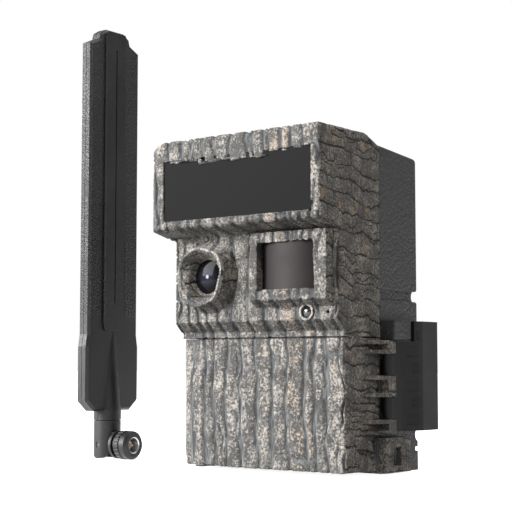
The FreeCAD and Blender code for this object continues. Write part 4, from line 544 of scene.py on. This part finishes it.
finishes = {
    "bark": barkFinish(barkInk, seamSet),
    "leather": plain("casingLeather", (0.03, 0.03, 0.03), (0.038, 0.038, 0.038), 0.46, pebble=720.0,
                     bumpDepth=0.5, shine=0.4),
    "antenna": antennaFinish(paddleSet), "lens": lensFinish(lensGlassAndShine), "board": boardFinish(boardTint),
    "cell": cellFinish(cellTint), "pane": paneFinish(paneSideShade), "latch": latchFinish(latchRecessShade),
    "inner": plain("innerPlastic", (0.03, 0.03, 0.031), (0.04, 0.04, 0.04), 0.5, pebble=1800.0,
                   bumpDepth=0.03, shine=0.4),
    "smoked": plain("smokedPane", (0.0125, 0.0125, 0.0125), (0.0135, 0.0135, 0.0135), 0.55, pebbled=0.0,
                    bumpDepth=0.01, shine=0.04, spread=0.02),
    "dome": plain("sensorDome", (0.012, 0.012, 0.013), (0.02, 0.02, 0.022), 0.12, pebbled=0.0, bumpDepth=0.0,
                  coat=0.6),
    "steel": plain("brightSteel", (0.62, 0.62, 0.63), (0.72, 0.72, 0.72), 0.22, metal=1.0, pebbled=0.0,
                   bumpDepth=0.01),
    "darkSteel": plain("blackSteel", (0.06, 0.06, 0.062), (0.1, 0.1, 0.1), 0.35, metal=1.0, pebbled=0.0,
                       bumpDepth=0.01),
    "brass": plain("platedBrass", (0.72, 0.55, 0.26), (0.83, 0.66, 0.34), 0.24, metal=1.0, pebbled=0.0,
                   bumpDepth=0.01),
    "seal": plain("sealRubber", (0.018, 0.018, 0.018), (0.028, 0.028, 0.028), 0.7, pebble=2500.0,
                  bumpDepth=0.03, shine=0.3),
    "lamp": plain("lampResin", (0.16, 0.12, 0.2), (0.24, 0.2, 0.28), 0.1, pebbled=0.0, bumpDepth=0.0,
                  coat=0.5),
    "white": plain("whiteInsulator", (0.72, 0.71, 0.67), (0.82, 0.81, 0.78), 0.4, pebble=2500.0,
                   bumpDepth=0.02),
    "tin": plain("tinShield", (0.55, 0.55, 0.55), (0.68, 0.68, 0.68), 0.33, metal=1.0, pebbled=0.0,
                 bumpDepth=0.02, cloud=220.0),
    "key": plain("keyRubber", (0.09, 0.09, 0.095), (0.12, 0.12, 0.125), 0.55, pebble=2600.0, bumpDepth=0.03),
    "card": plain("cardShell", (0.03, 0.045, 0.07), (0.045, 0.06, 0.09), 0.35, pebble=2600.0, bumpDepth=0.02),
    "cable": plain("cableSkin", (0.12, 0.075, 0.035), (0.17, 0.11, 0.05), 0.4, pebble=2600.0, bumpDepth=0.02),
}
finishOf = {
    "leather": ["rear_housing"], "latch": ["latch_lever"], "smoked": ["ir_window"], "pane": ["pir_lens"],
    "lens": ["lens_window"], "dome": ["light_sensor", "image_sensor"],
    "antenna": ["paddle_front", "paddle_back", "stem_fork", "connector_arm", "coupling_nut"],
    "steel": ["nut_insert", "battery_contacts", "door_hinge_pin", "board_screws"],
    "darkSteel": ["latch_pin", "fold_pin", "plug_barrel", "case_screws", "bracket_screws", "lens_barrel"],
    "brass": ["antenna_jack", "jack_nut", "tripod_insert", "plug_contact"],
    "seal": ["housing_seal", "door_seal", "jack_seal", "dc_plug"], "lamp": ["ir_leds"],
    "white": ["plug_insulator", "sim_card"],
    "tin": ["pir_sensor", "microphone", "modem_module", "card_slot", "sim_slot", "usb_port"],
    "key": ["button_up", "button_down", "button_ok", "power_switch"], "card": ["memory_card"],
    "cable": ["antenna_cable"], "cell": ["battery_cells"],
    "board": ["main_board", "control_board", "ir_led_board", "sensor_board", "radiator_board"],
    "inner": ["tree_bracket", "control_panel", "battery_tray", "dc_jack", "lens_holder", "ir_cut_slider"],
}
for look, names in finishOf.items():
    for name in names:
        nodes[name].data.materials.clear()
        nodes[name].data.materials.append(finishes[look])
print("finishes ready")


# bark skins
def outerTree(skip):
    whole = bmesh.new()
    for name, node in nodes.items():
        if name not in skip:
            whole.from_mesh(node.data)
    bvh = BVHTree.FromBMesh(whole)
    whole.free()
    return bvh


antennaBodies = ("plug", "nut", "arm", "paddle")
antennaNodes = [name for body in antennaBodies for name in frame["record"]["behaviour"]["bodies"][body]]


def sliceFaces(work, faces, axis, cuts):
    if not cuts or not faces:
        return faces
    middle = len(cuts) // 2
    place, facing = Vector(), Vector()
    place[axis], facing[axis] = cuts[middle], 1.0
    geometry = set(faces)
    for face in faces:
        geometry.update(face.edges)
        geometry.update(face.verts)
    cut = bmesh.ops.bisect_plane(work, geom=list(geometry), dist=1e-7, plane_co=place, plane_no=facing)
    found = cut["geom"]
    parts = [item for item in found if isinstance(item, bmesh.types.BMFace)]
    low, high = [], []
    for face in parts:
        (low if face.calc_center_median()[axis] < cuts[middle] else high).append(face)
    return sliceFaces(work, low, axis, cuts[:middle]) + sliceFaces(work, high, axis, cuts[middle + 1:])


def barkPiece(name, body, spec, bvh, shape):
    node = nodes[name]
    work = bmesh.new()
    work.from_mesh(node.data)
    bmesh.ops.remove_doubles(work, verts=work.verts, dist=spec["weld"])
    work.faces.ensure_lookup_table()
    outer = []
    for face in work.faces:
        start = face.calc_center_median() + face.normal * spec["lookOut"]
        if bvh.ray_cast(start, face.normal)[0] is None:
            outer.append(face)
    low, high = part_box(name)
    pitch = spec["sliceFine"] * mm
    for axis in range(3):
        cuts = [float(c) for c in np.arange(low[axis] + pitch * 0.5, high[axis], pitch)]
        outer = sliceFaces(work, outer, axis, cuts)
    bmesh.ops.triangulate(work, faces=[f for f in work.faces if len(f.verts) > 4])
    work.verts.index_update()
    outerVerts = sorted({vert.index for face in outer for vert in face.verts})
    mesh = bpy.data.meshes.new(name + "_bark")
    work.to_mesh(mesh)
    work.free()
    piece = bpy.data.objects.new(name + "_bark", mesh)
    scene.collection.objects.link(piece)
    mesh.shade_smooth()
    mesh.set_sharp_from_angle(angle=math.radians(spec["sharpAngle"]))
    count = len(mesh.vertices)
    place, facing = np.empty(count * 3, np.float32), np.empty(count * 3, np.float32)
    mesh.vertices.foreach_get("co", place)
    mesh.vertex_normals.foreach_get("vector", facing)
    place, facing = place.reshape(-1, 3) / mm, facing.reshape(-1, 3)
    relief = np.zeros(count, np.float32)
    relief[outerVerts] = 1.0
    sideMask = np.clip((np.abs(facing[:, 0]) - spec["sideFrom"]) / spec["sideOver"], 0, 1)
    masks = {"relief": relief, "sideMask": sideMask.astype(np.float32), "litRimAndRing": np.zeros(count, np.float32),
             "edgeMask": np.zeros(count, np.float32)}
    place = shape(place, masks)
    for label, values in masks.items():
        mesh.attributes.new(label, "FLOAT", "POINT").data.foreach_set("value", values.astype(np.float32))
    mesh.vertices.foreach_set("co", (place * mm).astype(np.float32).ravel())
    mesh.update()
    sizes = {"Rise": spec["rise"] * mm, "Depth": spec["depth"] * mm, "Grain": spec["grain"] * mm}
    runTree(piece, reliefTree, {**sizes, "Finish": finishes["bark"]})
    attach(piece, body)
    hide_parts(name)
    print(name, "bark faces:", len(piece.data.polygons))


def ease(value, low, high):
    t = np.clip((value - low) / (high - low), 0, 1)
    return t * t * (3 - 2 * t)


def middleOf(name):
    low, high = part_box(name)
    return (low.x + high.x) / 2 / mm, (low.z + high.z) / 2 / mm


hoodSet = {  # mm
    "cheekGrow": 2.6, "cheekSide": (41.8, 45.0), "cheekFoot": (103.0, 104.5), "cheekBack": (26.0, 46.0),
    "cheekEdge": -43.6,
    "gap": 0.1, "lipFront": -60.0, "lipSlack": 0.3, "lipTall": 4.5, "lipEnd": 4,
    "lipLeast": 0.3, "lipMost": 3.2, "flakeSteep": 5.0,
    "flakePower": 0.8,
    "flakes": [(-17.8, 2.8, 2.4), (-9.5, 7.0, 1.7), (-2.2, 2.8, 2.8), (5.5, 9.0, 2.1), (12.6, 3.2, 2.7),
               (-33.5, 5.0, 0.6), (-26.0, 3.0, 0.2), (24.0, 6.0, 0.2), (36.0, 4.0, 0.2)],  # across, half, drop
    "ragged": [(0.35, 2.9, 1.0), (0.3, 5.3, 0.0), (0.25, 9.1, 2.0)],  # size, turns per mm, shift
}
collarSet = {  # mm and degrees
    "reach": 18.0, "foot": -48.3, "stand": (48.6, 54.0), "wave": 0.45, "waves": [(1.0, 3, 0.6), (0.6, 7, 2.0)],
    "notch": (-8.0, 20.0, 1.7), "cleft": (178.0, 17.0, 1.6), "waveFrom": (8.0, 11.0),  # angle, spread, reach
    "cleftDeep": 2.2, "cleftFrom": (9.0, 12.0), "rimFront": -53.2, "rimInside": 10.9,
    "rimCalm": 0.85, "wallCalm": 0.55, "bowl": (12.2, -54.0),
    "litFrom": 12.5, "litTurn": (-80, 118), "litTint": 0.9, "rimPlain": 0.3,
}
sensorSet = {  # mm
    "light_sensor": 4.0, "microphone": 1.3, "face": -46, "ring": 3.8, "ringFace": -48.2, "ringTint": 1.0,
}


def swellCheek(place, masks, x, y, z, spec):
    cheek = ease(-x, *spec["cheekSide"]) * ease(z, *spec["cheekFoot"])
    cheek *= ease(-y, *spec["cheekBack"])
    place[:, 0] -= spec["cheekGrow"] * cheek
    masks["edgeMask"] = np.maximum(masks["edgeMask"], cheek * (x < spec["cheekEdge"]) * masks["relief"])


def tearLip(place, x, y, z, spec):
    low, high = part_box("ir_window")
    left, right, top = low.x / mm - spec["gap"], high.x / mm + spec["gap"], high.z / mm + spec["gap"]
    reach = np.zeros_like(x)
    for across, half, drop in spec["flakes"]:
        side = np.clip(1 - np.abs(x - across) / half, 0, 1)
        reach = np.maximum(reach, drop * np.clip(side * spec["flakeSteep"], 0, 1) ** spec["flakePower"])
    ragged = sum(size * np.sin(x * turns + shift) for size, turns, shift in spec["ragged"])
    reach = np.clip(reach + ragged + spec["lipLeast"], 0, spec["lipMost"])
    inside = (x > left - spec["lipSlack"]) & (x < right + spec["lipSlack"]) & (y < spec["lipFront"])
    lip = inside * (z > top - spec["lipSlack"]) * ease(-z, -top - spec["lipTall"], -top)
    ends = ease(x, left, left + spec["lipEnd"]) * ease(-x, -right, spec["lipEnd"] - right)
    place[:, 2] -= reach * lip * ends


def bumpAt(angle, middle, spread):
    away = (angle - middle + 180) % 360 - 180
    return np.exp(-(away / spread) ** 2)


def waveCollar(place, masks, x, y, z, spec):
    axis = middleOf("lens_window")
    dx, dz = x - axis[0], z - axis[1]
    radius, angle = np.hypot(dx, dz) + 1e-6, np.degrees(np.arctan2(dz, dx))
    onCollar = (radius < spec["reach"]) & (y < spec["foot"])
    tall = ease(-y, *spec["stand"]) * onCollar
    turn = np.radians(angle)
    wave = spec["wave"] * sum(size * np.sin(turn * count + shift) for size, count, shift in spec["waves"])
    wave = wave - spec["notch"][2] * bumpAt(angle, *spec["notch"][:2])
    cleft = bumpAt(angle, *spec["cleft"][:2])
    wave = wave + spec["cleft"][2] * cleft
    grow = (radius + wave * tall * ease(radius, *spec["waveFrom"])) / radius
    place[:, 0] = np.where(onCollar, axis[0] + (place[:, 0] - axis[0]) * grow, place[:, 0])
    place[:, 2] = np.where(onCollar, axis[1] + (place[:, 2] - axis[1]) * grow, place[:, 2])
    place[:, 1] += spec["cleftDeep"] * cleft * tall * ease(radius, *spec["cleftFrom"])
    rim = tall * (y < spec["rimFront"]) * (radius > spec["rimInside"])
    masks["relief"] = masks["relief"] * (1 - spec["rimCalm"] * rim) * (1 - spec["wallCalm"] * tall)
    bowl = onCollar & (radius < spec["bowl"][0]) & (y > spec["bowl"][1])
    masks["sideMask"] = np.where(bowl, 1.0, masks["sideMask"])
    # painted highlight: part of the rim is brightened over one span of angles, where light falls on it
    lit = rim * (radius > spec["litFrom"]) * (angle > spec["litTurn"][0]) * (angle < spec["litTurn"][1])
    masks["litRimAndRing"] = masks["litRimAndRing"] + spec["litTint"] * lit
    masks["sideMask"] = np.where(rim > spec["rimPlain"], 0.0, masks["sideMask"])


def calmSensors(masks, x, y, z, spec):
    for name in ("light_sensor", "microphone"):
        across, up = middleOf(name)
        off = np.hypot(x - across, z - up)
        masks["relief"] = np.where((off < spec[name]) & (y < spec["face"]), 0.0, masks["relief"])
        if name == "light_sensor":
            masks["litRimAndRing"] = masks["litRimAndRing"] + spec["ringTint"] * ((off < spec["ring"]) & (y < spec["ringFace"]))


def shapeFront(place, masks):
    x, y, z = place[:, 0].copy(), place[:, 1].copy(), place[:, 2].copy()
    swellCheek(place, masks, x, y, z, hoodSet)  # the hood's left cheek stands out over the hinge side
    tearLip(place, x, y, z, hoodSet)  # flakes hang over the top of the infrared window
    waveCollar(place, masks, x, y, z, collarSet)  # the lens rim waves, with a notch and a cleft
    calmSensors(masks, x, y, z, sensorSet)  # smooth rings round the light sensor and the microphone hole
    return place


doorSet = {  # mm
    "footRim": 1.0, "round": 5.2, "frontOnly": -30,
    "knuckleFrom": 45.7, "latchBack": -17.5, "knuckleCalm": 0.25,
    "hingeCalm": (5.6, 8.0),  # no relief near the hinge, so that the door turns past the rear casing
}


def shapeDoor(place, masks):
    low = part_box("lower_door")[0]
    swing = next(j for j in frame["record"]["behaviour"]["joints"] if j["name"] == "door_swing")["pos_m"]
    x, z = place[:, 0].copy(), place[:, 2].copy()
    # round the lower corner on the hinge side
    middleX, middleZ = low.x / mm + doorSet["round"], low.z / mm + doorSet["footRim"] + doorSet["round"]
    a, b = middleX - x, middleZ - z
    corner = (a > 0) & (b > 0) & (place[:, 1] < doorSet["frontOnly"])
    shrink = np.where(corner, np.maximum(a, b) / (np.hypot(a, b) + 1e-9), 1.0)
    place[:, 0] = np.where(corner, middleX - a * shrink, x)
    place[:, 2] = np.where(corner, middleZ - b * shrink, z)
    knuckle = (x > doorSet["knuckleFrom"]) | (place[:, 1] > doorSet["latchBack"])
    hinge = np.hypot(place[:, 0] - swing[0] / mm, place[:, 1] - swing[1] / mm)
    masks["relief"] = masks["relief"] * np.where(knuckle, doorSet["knuckleCalm"], 1.0)
    masks["relief"] = masks["relief"] * ease(hinge, *doorSet["hingeCalm"])
    return place


glassSet = {"radius": 7.75, "bulge": 1.3, "back": 1.4, "rings": 14, "parts": 72, "sharpAngle": 40}


def lensPiece(spec):
    centre = middleOf("lens_window")
    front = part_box("lens_window")[0].y / mm
    points, faces, rings, parts = [], [], spec["rings"], spec["parts"]
    for ring in range(1, rings + 1):
        radius = spec["radius"] * ring / rings
        deep = front - spec["bulge"] * (1 - (ring / rings) ** 2)
        for k in range(parts):
            turn = 2 * math.pi * k / parts
            points.append((centre[0] + radius * math.cos(turn), deep, centre[1] + radius * math.sin(turn)))
    for k in range(parts):
        x, _, z = points[(rings - 1) * parts + k]
        points.append((x, front + spec["back"], z))
    tip, heel = len(points), len(points) + 1
    points += [(centre[0], front - spec["bulge"], centre[1]), (centre[0], front + spec["back"], centre[1])]
    for ring in range(rings):
        for k in range(parts):
            a, b = ring * parts + k, ring * parts + (k + 1) % parts
            faces.append((a, b, b + parts, a + parts))
    for k in range(parts):
        faces.append((tip, (k + 1) % parts, k))
        faces.append((heel, rings * parts + k, rings * parts + (k + 1) % parts))
    mesh = bpy.data.meshes.new("lens_glass")
    mesh.from_pydata([(x * mm, y * mm, z * mm) for x, y, z in points], [], faces)
    work = bmesh.new()
    work.from_mesh(mesh)
    bmesh.ops.recalc_face_normals(work, faces=work.faces)
    work.to_mesh(mesh)
    work.free()
    mesh.shade_smooth()
    mesh.set_sharp_from_angle(angle=math.radians(spec["sharpAngle"]))
    mesh.materials.append(finishes["lens"])
    glass = bpy.data.objects.new("lens_glass", mesh)
    scene.collection.objects.link(glass)
    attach(glass, "casing")
    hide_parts("lens_window")


lensPiece(glassSet)
print("lens ready")

bvh = outerTree(antennaNodes)
barkPiece("front_housing", "casing", barkSet, bvh, shapeFront)
barkPiece("lower_door", "door", barkSet, bvh, shapeDoor)
print("bark skins ready")
